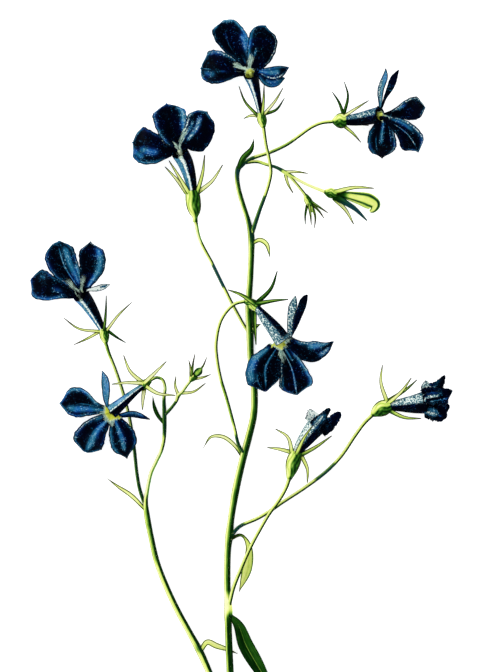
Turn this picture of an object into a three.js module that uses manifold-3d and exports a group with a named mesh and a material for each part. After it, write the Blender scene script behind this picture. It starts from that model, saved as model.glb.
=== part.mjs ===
// A cut sprig of blue lobelia, lying on a flat surface and seen from above.
// Millimetres, +Z up, +Y from the cut end towards the top flower. Only the petals, leaves and stems
// that touch the surface reach z = 0.

import * as THREE from 'three';
import { mergeVertices } from 'three/addons/utils/BufferGeometryUtils.js';
import Module from 'manifold-3d';

const wasm = await Module();
wasm.setup();

// Driving dimensions
const SPRIG_CENTRE = new THREE.Vector3(0.142, -11.424, 0); // middle of the sprig's outline
const GAP = 0.3; // clearance between neighbouring pieces
const FINEST = 0.07; // detail finer than this is merged away
const WELD = 0.004; // corners closer than this become one
const PARTING = 0.02; // how far two sheets that meet are drawn apart
const PETAL_THICKNESS = 0.7;
const SEPAL_THICKNESS = 0.6;
const SEPAL_WIDTH = 1.1;
const LEAF_THICKNESS = 0.65;
const TUBE_WALL = 0.45; // wall of a corolla at its mouth
const TUBE_PIT = 0.45; // share of a corolla tube that is open
const CALYX_WALL = 0.3;
const CALYX_PIT = 0.3; // share of a calyx that is open
const ANTHER_RADIUS = 0.5;
const ANTHER_START = 0.5; // share of the tube's length where the anther column is seated
const ANTHER_OUT = 0.9; // how far the anther column stands out of the mouth
const PETAL_ROOT = 0.8; // how far a petal's root runs down the tube wall
const SEPAL_ROOT = 0.6; // how far a sepal's root runs down the calyx
const PETAL_CUP = 0.22; // rise of a petal's edges, as a share of its half width
const LEAF_CUP = 0.25; // rise of a leaf's edges, as a share of its half width
const POINT = 0.07; // share of a blade's full width that is left at its tip
const STEM_SIDES = 8;
const STALK_SIDES = 6;
const BLOOM_SIDES = 8;
const RINGS_PER_SPAN = 1.3; // rings of a tube between two points of its route
const PIT_RINGS = 2; // rings down the inside of a cup
const TIP_CROWDING = 1.4; // above 1, a blade's rows stand closer together towards its tip
const UP = new THREE.Vector3(0, 0, 1);

// Rows along each kind of blade and columns across it
const GRIDS = {
  petal: { rows: 6, columns: 3 },
  lip: { rows: 4, columns: 2 },
  closing_petal: { rows: 5, columns: 2 },
  sepal: { rows: 3, columns: 1 },
  leaf: { rows: 7, columns: 2 },
};

// Heights in the routes below are those of a flat sprig. What stands above the level of the lying
// stems springs up by this factor.
const STEM_LEVEL = 1;
const SPRING = 1.45;
const sprung = (z) => (z > STEM_LEVEL ? STEM_LEVEL + (z - STEM_LEVEL) * SPRING : z);

// The same table with every point's height sprung
function spring(table) {
  if (Array.isArray(table)) {
    const [x, y, z, ...rest] = table;
    return typeof x === 'number' ? [x, y, sprung(z), ...rest] : table.map(spring);
  }
  if (typeof table === 'object') {
    return Object.fromEntries(Object.entries(table).map(([key, value]) => [key, spring(value)]));
  }
  return table;
}

// Materials
const plant = (color, roughness) => new THREE.MeshStandardMaterial({ color, roughness, metalness: 0 });
const STEM_GREEN = plant(0x8fb03c, 0.55);
const LEAF_GREEN = plant(0x4f7d2c, 0.6);
const PALE_LEAF = plant(0xb9c752, 0.6);
const LEAF_TONES = { green: LEAF_GREEN, pale: PALE_LEAF };
const CALYX_GREEN = plant(0xa3bb42, 0.6);
const PETAL_BLUE = plant(0x10295c, 0.5);
const BUD_GREEN = plant(0xa9c84a, 0.5);
const ANTHER_NAVY = plant(0x0b1024, 0.4);

// Stems and stalks. A route point is x, y, z and the radius there.
const STEMS = spring({
  main_stem: [
    [-2.5, -101.8, 0.95, 0.95], [-2.5, -95, 1.0, 0.95], [-2.5, -89, 1.4, 0.95], [-2.5, -84, 1.9, 0.95],
    [-2.75, -78.5, 2.3, 0.95], [-2.95, -72, 2.2, 0.95], [-3, -68.5, 2.0, 1.15], [-3.1, -65.5, 1.8, 0.9],
    [-3.25, -60, 1.5, 0.88], [-3.05, -53, 1.1, 0.88], [-2.75, -50, 0.95, 1.05], [-2.3, -46, 0.9, 0.88],
    [-1.1, -38.5, 0.9, 0.98], [0.6, -31, 0.88, 0.96], [2.2, -25, 0.86, 0.94], [3.4, -19.5, 0.84, 0.92],
    [3.5, -13, 0.82, 0.9], [2.6, -4.75, 0.8, 0.88], [2.45, 0.75, 0.82, 0.98], [2.1, 7.5, 0.78, 0.85],
    [2.5, 14, 0.74, 0.8], [2.8, 21, 0.72, 0.8], [2.75, 25, 0.7, 0.88], [2.1, 28.5, 0.66, 0.66],
    [0.5, 33.5, 0.62, 0.64], [-0.5, 37.3, 0.6, 0.62], [-0.75, 40.2, 0.6, 0.62], [-0.4, 42, 0.62, 0.72],
    [0.5, 42.9, 0.65, 0.7],
  ],
  left_stem: [
    [-2.5, -95, 1.0, 0.85], [-5.2, -89.5, 0.9, 0.85], [-7.5, -84.5, 0.85, 0.85], [-10, -79, 0.85, 0.95],
    [-12.8, -73.8, 0.8, 0.82], [-15.75, -68.4, 0.76, 0.8], [-18.5, -62.5, 0.74, 0.78],
    [-20.75, -56.6, 0.72, 0.76], [-22.25, -50.2, 0.7, 0.74], [-23.25, -45, 0.68, 0.78],
    [-23.6, -41.5, 0.62, 0.62], [-23.2, -38.5, 0.56, 0.52], [-22.3, -34.3, 0.52, 0.5],
    [-21, -31.4, 0.5, 0.5], [-19.7, -28.6, 0.5, 0.5], [-19, -25.5, 0.5, 0.5], [-18.9, -20.2, 0.55, 0.58],
    [-19, -15.5, 0.8, 0.45], [-18.75, -12.8, 1.3, 0.42], [-19.4, -10.9, 2.1, 0.42],
    [-20.8, -10.4, 2.9, 0.42], [-22.3, -11.05, 3.6, 0.42],
  ],
  stalk_top: [
    [2.75, 25, 0.8, 0.6], [3.9, 28.5, 1.2, 0.56], [5, 31.75, 1.8, 0.52], [6.3, 35.2, 2.5, 0.48],
    [7.25, 38.3, 2.75, 0.46], [7.7, 41, 2.8, 0.45], [7.25, 44.2, 2.8, 0.45], [6.5, 47.5, 2.8, 0.45],
    [5.85, 51.9, 2.95, 0.5],
  ],
  stalk_upper_left: [
    [2.45, 0.75, 0.7, 0.45], [1.3, 2.1, 0.6, 0.45], [-0.9, 6, 0.55, 0.44], [-2.5, 9, 0.5, 0.44],
    [-4.8, 13.7, 0.5, 0.44], [-6.9, 18, 0.6, 0.44], [-10.1, 24.2, 1.4, 0.45], [-11.0, 28.2, 2.4, 0.5],
  ],
  stalk_upper_right: [
    [0.5, 42.9, 0.65, 0.55], [3, 44.4, 0.7, 0.5], [5.25, 45.2, 0.75, 0.48], [7.75, 46, 0.8, 0.46],
    [11.75, 47.9, 1.0, 0.45], [14.75, 50, 1.4, 0.45], [17.75, 52.1, 2.0, 0.45], [20.4, 53.2, 2.6, 0.46],
    [23, 53.5, 2.9, 0.5],
  ],
  bud_stalk: [
    [1.2, 43.3, 0.6, 0.44], [4.2, 43.6, 0.55, 0.44], [6.6, 42.9, 0.55, 0.42], [9.2, 42.1, 0.6, 0.42],
    [11.5, 40.8, 0.7, 0.55], [14, 39.3, 1.0, 0.4], [17.3, 37.6, 1.6, 0.4], [21, 36.1, 2.4, 0.45],
  ],
  small_bud_stalk: [[11.5, 40.8, 0.7, 0.4], [13.6, 38.6, 0.9, 0.36], [16.2, 35.4, 1.4, 0.4]],
  stalk_left: [
    [-23.4, -43.2, 0.6, 0.5], [-25, -38.6, 0.55, 0.48], [-25.8, -34.2, 0.5, 0.46],
    [-26.4, -28.5, 0.48, 0.45], [-27.5, -21.2, 0.46, 0.44], [-29.2, -14.4, 0.46, 0.44],
    [-31.1, -8.6, 0.7, 0.44], [-32.7, -4.4, 1.7, 0.45], [-33.5, -1.8, 2.5, 0.5],
  ],
  stalk_centre: [
    [1.2, -29.6, 0.95, 0.45], [-0.3, -27.3, 1.8, 0.45], [-1.5, -22.5, 1.7, 0.44], [-3.4, -15.5, 1.0, 0.44],
    [-4.9, -10.5, 0.7, 0.44], [-5.8, -5.6, 0.6, 0.44], [-6, -1.8, 0.8, 0.44], [-5, 3.3, 1.4, 0.44],
    [-3.3, 6.2, 2.1, 0.44], [-1.2, 8.05, 2.7, 0.45], [1.1, 8.65, 3.2, 0.5],
  ],
  stalk_right: [
    [-2.75, -51.2, 0.8, 0.52], [-1.4, -48.9, 0.6, 0.5], [0.2, -47.4, 0.52, 0.48], [4.25, -45.6, 0.5, 0.48],
    [7.5, -43.7, 0.5, 0.48], [10.5, -41.6, 0.5, 0.48], [16, -38, 0.5, 0.48], [21.6, -33.8, 0.7, 0.48],
    [25.3, -29.9, 1.2, 0.48], [28.6, -25, 1.8, 0.48], [31, -21.7, 2.4, 0.5], [32.9, -19.8, 2.7, 0.55],
  ],
  stalk_inner: [
    [-3, -68.5, 2.0, 0.55], [-1.7, -63, 2.5, 0.52], [0.25, -58, 2.4, 0.5], [2.5, -52.9, 2.3, 0.48],
    [4.9, -48.4, 2.2, 0.48], [7.5, -44, 2.2, 0.48], [9.7, -41, 2.3, 0.48], [11.4, -38, 2.6, 0.5],
    [12.2, -35.8, 2.9, 0.55],
  ],
  round_bud_stalk: [
    [-18.9, -19.8, 0.55, 0.45], [-17.2, -18, 0.55, 0.42], [-15.9, -16.2, 0.55, 0.42],
    [-15.4, -14.8, 0.65, 0.55], [-14.5, -14, 0.8, 0.4], [-13.5, -12.6, 1.1, 0.4],
    [-12.5, -11.3, 1.4, 0.42],
  ],
});

// Which piece a stalk leaves, so its foot is shaped to that piece
const PARENTS = {
  left_stem: ['main_stem'],
  stalk_top: ['main_stem'],
  stalk_upper_left: ['main_stem'],
  stalk_upper_right: ['main_stem'],
  bud_stalk: ['main_stem', 'stalk_upper_right'],
  stalk_left: ['left_stem'],
  stalk_centre: ['main_stem'],
  stalk_right: ['main_stem'],
  stalk_inner: ['main_stem'],
  round_bud_stalk: ['left_stem'],
};

// Open flowers. calyx and tube are routes with radii; a sepal is the side it stands on, its middle
// and its tip; a petal is its tip, its width, how far it arches up, how far it bends to its left
// and its roll in degrees.
const FLOWERS = spring({
  top: {
    calyx: [[5.8, 52.0, 2.95, 0.6], [5.55, 53.6, 3.1, 1.2], [5.05, 55.7, 3.3, 1.1]],
    sepals: [
      [[4.5, 55.7, 3.6], [1.3, 58.3, 4.3], [-0.3, 62.3, 4.0]],
      [[4.3, 55.2, 3.4], [2.6, 54.9, 3.6], [0.9, 54.2, 3.0]],
      [[5.4, 55.7, 3.9], [5.9, 59.2, 4.2], [6, 62.5, 4.0]],
      [[5.9, 55.6, 3.6], [8.8, 58.6, 3.9], [10.7, 61.8, 3.2]],
      [[6, 54.9, 3.3], [9, 56.4, 3.2], [11.1, 59.3, 2.6]],
    ],
    tube: [[5.1, 55.2, 3.3, 0.6], [4.4, 58.8, 3.5, 0.95], [3.4, 62.8, 4.2, 1.5], [2.6, 65.2, 6.0, 1.9]],
    petals: [
      { tip: [-2.9, 78.8, 4.4], width: 8.2, arch: 1.6, bend: 1.5 },
      { tip: [6.3, 77.3, 4.8], width: 6.8, arch: 1.4, bend: -0.6 },
      { tip: [-9.7, 66.9, -0.15], width: 8.7, arch: 2.2, bend: 0.1 },
    ],
    lips: [
      { tip: [12.1, 67.1, 5.4], width: 2.6, arch: 0.4, bend: -0.9 },
      { tip: [10.3, 63.2, 4.6], width: 2.6, arch: 0.1, bend: -0.7 },
    ],
  },
  upper_left: {
    calyx: [
      [-11.1, 28.4, 2.4, 0.6], [-11.4, 31.5, 2.6, 1.5], [-11.7, 34, 2.8, 1.85], [-11.9, 36.4, 3.0, 1.6],
    ],
    sepals: [
      [[-12.8, 36.2, 3.2], [-15.7, 38.9, 4.0], [-18.7, 42.2, 3.4]],
      [[-12.5, 36.8, 3.6], [-15.4, 40, 4.4], [-17.7, 43.7, 4.2]],
      [[-10.9, 36.6, 3.6], [-9.3, 40.7, 4.3], [-8.8, 45.1, 4.0]],
      [[-10.6, 35.9, 3.2], [-6.9, 38.7, 3.8], [-4.3, 42.7, 3.0]],
      [[-11.9, 36.4, 1.9], [-13.4, 39.8, 1.3], [-14.6, 43.2, 0.8]],
    ],
    tube: [
      [-11.8, 35.8, 3.0, 1.1], [-12.4, 39, 3.4, 1.55], [-13.6, 43, 4.3, 2.0], [-15, 45.7, 6.0, 2.15],
    ],
    petals: [
      { tip: [-26.8, 48.3, -0.15], width: 9.1, arch: 2.3, bend: 0.3 },
      { tip: [-18.3, 57.7, 4.6], width: 8.4, arch: 1.6, bend: 0.7 },
      { tip: [-8.3, 55.9, 4.6], width: 7.7, arch: 1.6, bend: -1.2 },
    ],
    lips: [
      { tip: [-19.2, 53, 2.2], width: 2.2, arch: -1.2 },
      { tip: [-11.6, 53.6, 2.4], width: 2.2, arch: -1.2 },
    ],
  },
  upper_right: {
    calyx: [
      [23.1, 53.5, 2.9, 0.6], [24.3, 53.6, 2.95, 1.7], [25.4, 53.7, 3.0, 1.95], [26.5, 53.75, 3.05, 1.5],
    ],
    sepals: [
      [[26.1, 54.9, 3.3], [26.9, 59.8, 3.9], [26, 63.4, 3.2]],
      [[25.5, 55.1, 3.1], [24.7, 58.2, 3.4], [23, 60.9, 2.8]],
      [[26.6, 54.7, 3.7], [29.4, 57, 4.1], [32.1, 58.7, 3.6]],
      [[26.4, 52.6, 3.0], [28.3, 50.4, 2.8], [30.2, 48.3, 2.0]],
      [[26.5, 53.6, 2.0], [29.3, 53, 1.2], [32.2, 52.6, 0.7]],
    ],
    tube: [[26, 53.75, 3.0, 1.0], [29, 53.9, 3.3, 1.2], [32.3, 54.5, 3.9, 1.6], [34.9, 55.1, 5.2, 1.95]],
    petals: [
      { tip: [46.3, 57, 1.4], width: 5.9, arch: 2 },
      { tip: [44.5, 45.8, 2.2], width: 6.4, arch: 1.6, bend: 1.1 },
      { tip: [35.5, 44.3, -0.15], width: 7.4, arch: 1.8, bend: -0.2 },
    ],
    lips: [
      { tip: [36.3, 66.7, 3.6], width: 2.1, arch: 0.8 },
      { tip: [39.6, 66.4, 3.2], width: 2.4, arch: 0.6 },
    ],
  },
  left: {
    calyx: [[-33.5, -1.7, 2.5, 0.6], [-33.75, -0.2, 2.7, 1.2], [-34.1, 1.9, 2.9, 1.1]],
    sepals: [
      [[-34, 1.8, 3.5], [-33.4, 6.2, 4.4], [-33.3, 10.1, 4.2]],
      [[-33.4, 1.6, 3.2], [-30.3, 5.2, 3.8], [-27, 8.4, 3.0]],
      [[-33.2, 1.2, 3.0], [-30.9, -0.2, 3.1], [-28.5, -1.7, 2.4]],
      [[-34.8, 1.8, 3.1], [-40.1, 1.8, 3.3], [-44, 4.5, 2.2]],
      [[-34.8, 1.3, 2.9], [-38, -0.6, 2.8], [-41.5, -2.2, 2.0]],
    ],
    tube: [
      [-34.1, 1.4, 2.9, 0.6], [-35.4, 4.6, 3.3, 1.2], [-37.5, 8, 4.3, 1.85], [-39.6, 10, 6.0, 2.15],
    ],
    petals: [
      { tip: [-52.4, 14, -0.15], width: 7.6, arch: 2.2, bend: 0.8 },
      { tip: [-45.9, 23.3, 4.0], width: 7.4, arch: 1.6, bend: 1.0 },
      { tip: [-37.2, 23.5, 4.4], width: 6.6, arch: 1.6, bend: -1.1 },
    ],
    lips: [
      { tip: [-32.3, 12.8, 5.2], width: 1.9, arch: 0.3 },
      { tip: [-34.2, 16.6, 2.8], width: 1.9, arch: -1 },
    ],
  },
  lower_left: {
    calyx: [[-22.4, -11.15, 3.65, 0.6], [-23.4, -11.8, 4.2, 1.15], [-24.5, -12.7, 4.8, 1.15]],
    sepals: [
      [[-24.3, -12, 5.3], [-27.3, -8.8, 5.4], [-29, -4.8, 4.4]],
      [[-23.6, -11.5, 5.0], [-21, -9, 5.1], [-18.3, -6.3, 4.4]],
      [[-24.9, -12.3, 5.6], [-28.2, -11.6, 6.5], [-31.9, -12, 6.0]],
      [[-23.7, -12.5, 4.9], [-20.4, -14.3, 4.7], [-16.1, -14.8, 3.6]],
      [[-24.4, -13.2, 4.6], [-24.2, -16, 4.4], [-24.3, -18.4, 3.8]],
    ],
    tube: [
      [-24.1, -12.4, 4.6, 0.65], [-26.4, -14.2, 5.2, 1.0], [-29.3, -16.7, 5.5, 1.45],
      [-32, -18.9, 5.2, 1.8],
    ],
    petals: [
      { tip: [-45.1, -16.8, 1.2], width: 7.7, arch: 1.6, bend: -0.7 },
      { tip: [-39, -28.9, -0.15], width: 7.6, arch: 1.8, bend: -1.4 },
      { tip: [-28.2, -30.7, 1.4], width: 6.7, arch: 1.6, bend: 0.5 },
    ],
    lips: [
      { tip: [-34.4, -8.6, 3.6], width: 2.3, arch: 0.5, roll: -8 },
      { tip: [-22.4, -20.8, 3.0], width: 2.5, arch: 0.5, roll: 8 },
    ],
  },
  centre: {
    calyx: [[1.3, 8.6, 3.3, 0.6], [2.7, 8.2, 3.8, 1.2], [4.5, 7.1, 4.4, 1.25]],
    sepals: [
      [[3.7, 8.1, 5.0], [0.2, 10.3, 5.3], [-3, 11.5, 4.4]],
      [[4.9, 7.7, 5.1], [7.7, 11.8, 5.4], [9.3, 16.2, 4.4]],
      [[5.2, 7.2, 5.3], [8.6, 8.8, 6.2], [12, 9.1, 6.4]],
      [[4, 6.3, 4.2], [3.7, 2.4, 4.4], [4, -2.2, 3.8]],
      [[4.6, 6.9, 3.4], [6.4, 4, 3.0], [8.3, 1.2, 2.6]],
    ],
    tube: [[4, 7.4, 4.3, 0.7], [6, 4.9, 4.9, 1.35], [8.6, 1.8, 5.3, 1.9], [10.7, -1.2, 5.0, 2.1]],
    petals: [
      { tip: [6.3, -13.9, 2.7], width: 8.4, arch: 1.2, bend: -1.9 },
      { tip: [14.3, -14.8, -0.15], width: 8.2, arch: 1.8, bend: 1 },
      { tip: [23.4, -1.4, 1.6], width: 5.8, arch: 1.4, bend: -2.7 },
    ],
    lips: [
      { tip: [13.8, 10, 4.8], width: 2.3, arch: 1.1, roll: -14 },
      { tip: [16.8, 10.3, 3.0], width: 2.9, arch: 0.2, roll: 12 },
    ],
  },
});

// Closing flowers: the corolla is a tube whose five short lobes are folded forward over its mouth.
const CLOSING = spring({
  right: {
    calyx: [
      [32.9, -19.7, 2.75, 0.65], [34.3, -18.7, 2.9, 1.7], [35.8, -17.9, 3.0, 2.0], [37.6, -17.3, 3.1, 1.45],
    ],
    sepals: [
      [[36.2, -16.5, 3.4], [35.1, -11.5, 4.0], [35.5, -7.2, 3.2]],
      [[37.3, -16.6, 4.0], [40.2, -13.8, 4.7], [42.7, -10.4, 4.2]],
      [[37.5, -16.3, 3.4], [41.3, -13.4, 3.4], [44.2, -10.9, 2.6]],
      [[37.5, -18.3, 3.3], [41, -20.3, 3.5], [45.2, -20.6, 2.6]],
      [[37, -17.5, 1.9], [40.2, -17.2, 1.2], [43.2, -16.8, 0.7]],
    ],
    tube: [
      [37, -17.5, 3.05, 0.85], [40, -17.1, 3.1, 1.2], [43.6, -16.7, 3.1, 2.1], [46.6, -16.1, 3.1, 2.7],
    ],
    petals: [
      { tip: [51.2, -9.9, 3.4], width: 3.8, arch: 0.8, bend: -0.5 },
      { tip: [53, -13.6, 4.4], width: 4.2, arch: 1.2 },
      { tip: [52.4, -17, 2.4], width: 4.2, arch: -0.9 },
      { tip: [51.7, -20.1, 2.8], width: 3.6, arch: 0.8, bend: 0.6 },
      { tip: [46.9, -11.8, 3.2], width: 2.4, arch: 0.2 },
    ],
  },
  inner: {
    calyx: [
      [12.25, -35.7, 2.95, 0.65], [12.8, -33.4, 3.1, 1.5], [13.3, -31.4, 3.3, 1.85], [14.1, -28.7, 3.5, 1.5],
    ],
    sepals: [
      [[13.2, -28.9, 4.0], [11.9, -25.2, 4.6], [8.8, -23.1, 3.8]],
      [[12.9, -29.2, 3.6], [9.9, -28.2, 3.8], [6.8, -27.8, 3.0]],
      [[15.2, -29.4, 3.5], [19, -27.6, 3.4], [22.9, -24.9, 2.4]],
      [[15.2, -30.4, 3.3], [16.8, -33.2, 3.3], [16.8, -36.6, 2.6]],
      [[14.4, -28.4, 5.2], [16, -25.2, 6.7], [18.2, -22.1, 7.2]],
    ],
    tube: [
      [13.9, -29.3, 3.5, 0.85], [15.6, -26.6, 3.7, 1.4], [18, -23.6, 3.8, 2.1], [20, -21.4, 3.8, 2.5],
    ],
    petals: [
      { tip: [18.7, -19, 4.4], width: 2.8, arch: 0.5 },
      { tip: [22.3, -18.1, 5.2], width: 3.6, arch: 0.8 },
      { tip: [25.1, -19.1, 3.4], width: 3.4, arch: 0.8 },
      { tip: [23.8, -22.4, 3.2], width: 3.2, arch: 0.5 },
      { tip: [23.4, -20.4, 2.2], width: 3.4, arch: -0.6 },
    ],
  },
});

// Closed buds: body is the corolla's route with radii.
const BUDS = spring({
  green: {
    calyx: [[21.1, 36, 2.45, 0.55], [22.4, 35.7, 2.55, 1.25], [24.2, 35.3, 2.7, 1.15]],
    sepals: [
      [[24, 35.9, 3.4], [28.6, 37, 4.3], [33.4, 36.8, 4.2]],
      [[23.8, 34.4, 2.6], [26.4, 31.4, 2.3], [28.4, 27.9, 1.4]],
      [[24.1, 34.6, 3.3], [28.4, 31.9, 3.3], [31.7, 28.8, 2.3]],
      [[23.9, 35.5, 1.8], [26.6, 35.2, 1.0], [29.3, 34.5, 0.6]],
    ],
    body: [
      [23.8, 35.4, 2.7, 0.55], [26.5, 35.1, 2.7, 1.05], [29.5, 34.5, 2.5, 1.6], [32, 33.8, 2.2, 2.0],
      [33.6, 32.8, 2.1, 1.6], [33.2, 31.5, 2.1, 0.9], [32.4, 31, 2.1, 0.3],
    ],
  },
  small: {
    calyx: [[16.3, 35.3, 1.4, 0.5], [16.9, 34, 1.5, 0.95], [17.7, 32.6, 1.6, 0.9]],
    sepals: [
      [[17.1, 32.5, 1.7], [16.3, 30.2, 1.9], [16.3, 27.8, 1.3]],
      [[17.5, 32.3, 2.2], [17.6, 30.1, 2.5], [17.8, 27.7, 1.9]],
      [[18.1, 32.3, 1.4], [18.8, 29.8, 1.2], [18.6, 26.9, 0.8]],
      [[18.3, 32.9, 2.0], [20.2, 31.9, 2.3], [22, 30.7, 1.8]],
      [[18.2, 32.6, 1.2], [19.9, 31, 1.1], [21, 29.4, 0.7]],
    ],
    body: [[17.5, 33, 1.6, 0.4], [17.9, 31.8, 1.65, 0.6], [18.2, 30.9, 1.7, 0.25]],
  },
  round: {
    calyx: [[-12.45, -11.2, 1.4, 0.5], [-11.9, -10.5, 1.6, 0.95], [-11.3, -9.8, 1.8, 0.95]],
    sepals: [
      [[-11.9, -9.7, 1.9], [-12.4, -7.8, 2.2], [-12.8, -6, 1.7]],
      [[-11.5, -9.4, 2.4], [-11.7, -6.8, 2.8], [-11.2, -4.3, 2.2]],
      [[-11, -9.6, 2.3], [-9.3, -7.6, 2.9], [-8.3, -5.3, 2.3]],
      [[-10.9, -10.1, 1.7], [-9.2, -10.3, 1.7], [-7.3, -9.6, 1.2]],
    ],
    body: [
      [-11.5, -10, 1.75, 0.45], [-10.9, -9.4, 1.9, 0.9], [-10.2, -8.7, 2.05, 1.0], [-9.6, -8.1, 2.15, 0.4],
    ],
  },
});

// Leaves and bracts: the midrib's route, the full width, the outline, the stem that carries the leaf
// and the tone of its green
const LEAVES = spring({
  hooked_leaf: {
    route: [[2.9, 23, 0.8], [4.9, 24, 1.0], [6.6, 23, 1.2], [7.5, 19.6, 0.7]],
    width: 1.2, outline: 'strap', stem: 'main_stem', tone: 'green',
  },
  upper_leaf: {
    route: [[-0.5, 41.9, 1.2], [0.8, 44.4, 1.9], [2.8, 46.6, 2.0], [3.5, 49.3, 1.5]],
    width: 1.5, outline: 'strap', stem: 'main_stem', tone: 'green',
  },
  arched_leaf: {
    route: [
      [0.8, -30.6, 0.6], [-1.3, -27.4, 0.5], [-4.2, -25.2, 0.9], [-7.2, -25.2, 1.1], [-9.2, -28, 0.6],
    ],
    width: 1.6, outline: 'strap', stem: 'main_stem', tone: 'pale',
  },
  stub_leaf: {
    route: [[2.5, 0.6, 0.8], [4, 2.4, 1.1], [5.2, 3, 1.0]],
    width: 1.2, outline: 'strap', stem: 'main_stem', tone: 'green',
  },
  lance_leaf: {
    route: [
      [-2.6, -50.8, 0.75], [0.3, -49.75, 0.6], [2.1, -52.3, 0.75], [1.9, -57.5, 0.75], [-0.2, -63.9, 0.5],
    ],
    width: 2.4, outline: 'lance', stem: 'main_stem', tone: 'pale',
  },
  large_leaf: {
    route: [
      [-2.9, -69.2, 1.9], [-0.4, -72.2, 2.4], [1.4, -77, 1.9], [4.6, -82.7, 1.2], [9.2, -90.5, 0.5],
    ],
    width: 3.8, outline: 'lance', stem: 'main_stem', tone: 'green',
  },
  crossing_leaf: {
    route: [
      [-10, -79, 0.8], [-8.2, -76.5, 0.8], [-5.9, -77.4, 0.5], [-3.2, -78.3, 0.4], [-0.6, -79.4, 0.4],
    ],
    width: 1.5, outline: 'strap', stem: 'left_stem', tone: 'pale',
  },
  left_bract: {
    route: [[-23.3, -43.8, 0.7], [-27.1, -39.9, 0.9], [-30.5, -37.6, 0.8], [-33.2, -35.6, 0.5]],
    width: 1.1, outline: 'strap', stem: 'left_stem', tone: 'pale',
  },
  dark_leaf: {
    route: [[-19.1, -21.8, 0.6], [-20.7, -19.5, 0.8], [-21.5, -17.3, 0.9], [-21.8, -15, 0.6]],
    width: 1.3, outline: 'strap', stem: 'left_stem', tone: 'green',
  },
});

// Tiny bracts that are fused to the bud stalks
const BUD_BRACTS = spring([
  [[11.4, 41, 0.8], [14.2, 41, 1.5], [17, 40.6, 1.4]],
  [[11.3, 40.4, 0.7], [12, 38, 0.6], [13.3, 35.6, 0.5]],
]);
const ROUND_BUD_BRACTS = spring([
  [[-15.5, -14.6, 0.7], [-16.2, -12.4, 0.9], [-16, -10, 0.6]],
  [[-14.8, -14.3, 0.7], [-11.6, -13.9, 0.6], [-8.6, -11.8, 0.5]],
]);

// Outlines: share of the full width at u, from 0 at the root to 1 at the tip
const OUTLINES = {
  petal: (u) => Math.max(Math.sin(Math.PI * u ** 1.5) ** 0.76, 0.42 * (1 - u), POINT),
  lip: (u) => Math.max(Math.sin(Math.PI * u ** 1.25) ** 0.8, 0.6 * (1 - u), POINT),
  sepal: (u) => Math.max(1 - 0.8 * u ** 1.6, POINT),
  strap: (u) => Math.max((0.6 + 0.4 * Math.sin(Math.PI * u)) * (1 - u ** 4), 0.2),
  lance: (u) => Math.max(Math.sin(Math.PI * u ** 0.85) ** 0.9, 0.3 * (1 - u), POINT),
};

const toVector = ([x, y, z]) => new THREE.Vector3(x, y, z);

// Curve through a route's points, with the radius given by linear steps between them
function follow(route) {
  const curve = new THREE.CatmullRomCurve3(route.map(toVector), false, 'centripetal');
  const spans = route.length - 1;
  const radiusAt = (t) => {
    const index = Math.min(Math.floor(t * spans), spans - 1);
    return THREE.MathUtils.lerp(route[index][3], route[index + 1][3], t * spans - index);
  };
  return { curve, spans, radiusAt };
}

// One ring of a tube: flat sides face down and up, so a tube rests on a flat
function ring({ curve, radiusAt }, t, sides, grow) {
  const centre = curve.getPoint(t);
  const along = curve.getTangent(t);
  const side = new THREE.Vector3().crossVectors(along, UP).normalize();
  const over = new THREE.Vector3().crossVectors(side, along);
  const radius = radiusAt(t) + grow;
  return Array.from({ length: sides }, (_, i) => {
    const angle = (2 * Math.PI * (i + 0.5)) / sides + Math.PI / 2;
    return centre.clone()
      .addScaledVector(side, radius * Math.cos(angle))
      .addScaledVector(over, radius * Math.sin(angle));
  });
}

// Solid from an indexed list of points and faces
function solidOf(points, faces) {
  const vertProperties = new Float32Array(points.flatMap((point) => point.toArray()));
  return new wasm.Manifold(new wasm.Mesh({ numProp: 3, vertProperties, triVerts: new Uint32Array(faces) }));
}

// Closed skin over a row of rings, with a fan at each end
function skin(rings) {
  const sides = rings[0].length;
  const points = rings.flat();
  const middleOf = (list) => (
    list.reduce((sum, point) => sum.add(point), new THREE.Vector3()).divideScalar(list.length));
  const first = points.push(middleOf(rings[0])) - 1;
  const last = points.push(middleOf(rings[rings.length - 1])) - 1;
  const faces = [];
  for (let i = 0; i < sides; i += 1) {
    const next = (i + 1) % sides;
    faces.push(first, i, next);
    for (let row = 0; row < rings.length - 1; row += 1) {
      const low = row * sides;
      const high = low + sides;
      faces.push(low + i, high + next, low + next, low + i, high + i, high + next);
    }
    const top = (rings.length - 1) * sides;
    faces.push(top + i, last, top + next);
  }
  return solidOf(points, faces);
}

// Lengthens a route at both ends, for a clearance
function lengthened(route, extra) {
  const push = (end, inner) => {
    const tip = new THREE.Vector3(...end);
    const move = tip.clone().sub(new THREE.Vector3(...inner)).setLength(extra);
    return [...tip.add(move).toArray(), end[3]];
  };
  const last = route.length - 1;
  return [push(route[0], route[1]), ...route.slice(1, last), push(route[last], route[last - 1])];
}

function tube(route, sides, grow = 0) {
  const path = follow(grow ? lengthened(route, grow) : route);
  const steps = Math.ceil(path.spans * RINGS_PER_SPAN);
  return skin(Array.from({ length: steps + 1 }, (_, i) => ring(path, i / steps, sides, grow)));
}

// Tube with an open mouth at its far end: the skin turns in at the rim and back down the inside
function cup(route, wall, pit, sides) {
  const path = follow(route);
  const outerSteps = Math.ceil(path.spans * RINGS_PER_SPAN);
  const outer = Array.from({ length: outerSteps + 1 }, (_, i) => ring(path, i / outerSteps, sides, 0));
  const inner = Array.from({ length: PIT_RINGS + 1 }, (_, i) => (
    ring(path, 1 - (pit * i) / PIT_RINGS, sides, -wall)));
  return skin([...outer, ...inner]);
}

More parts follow.
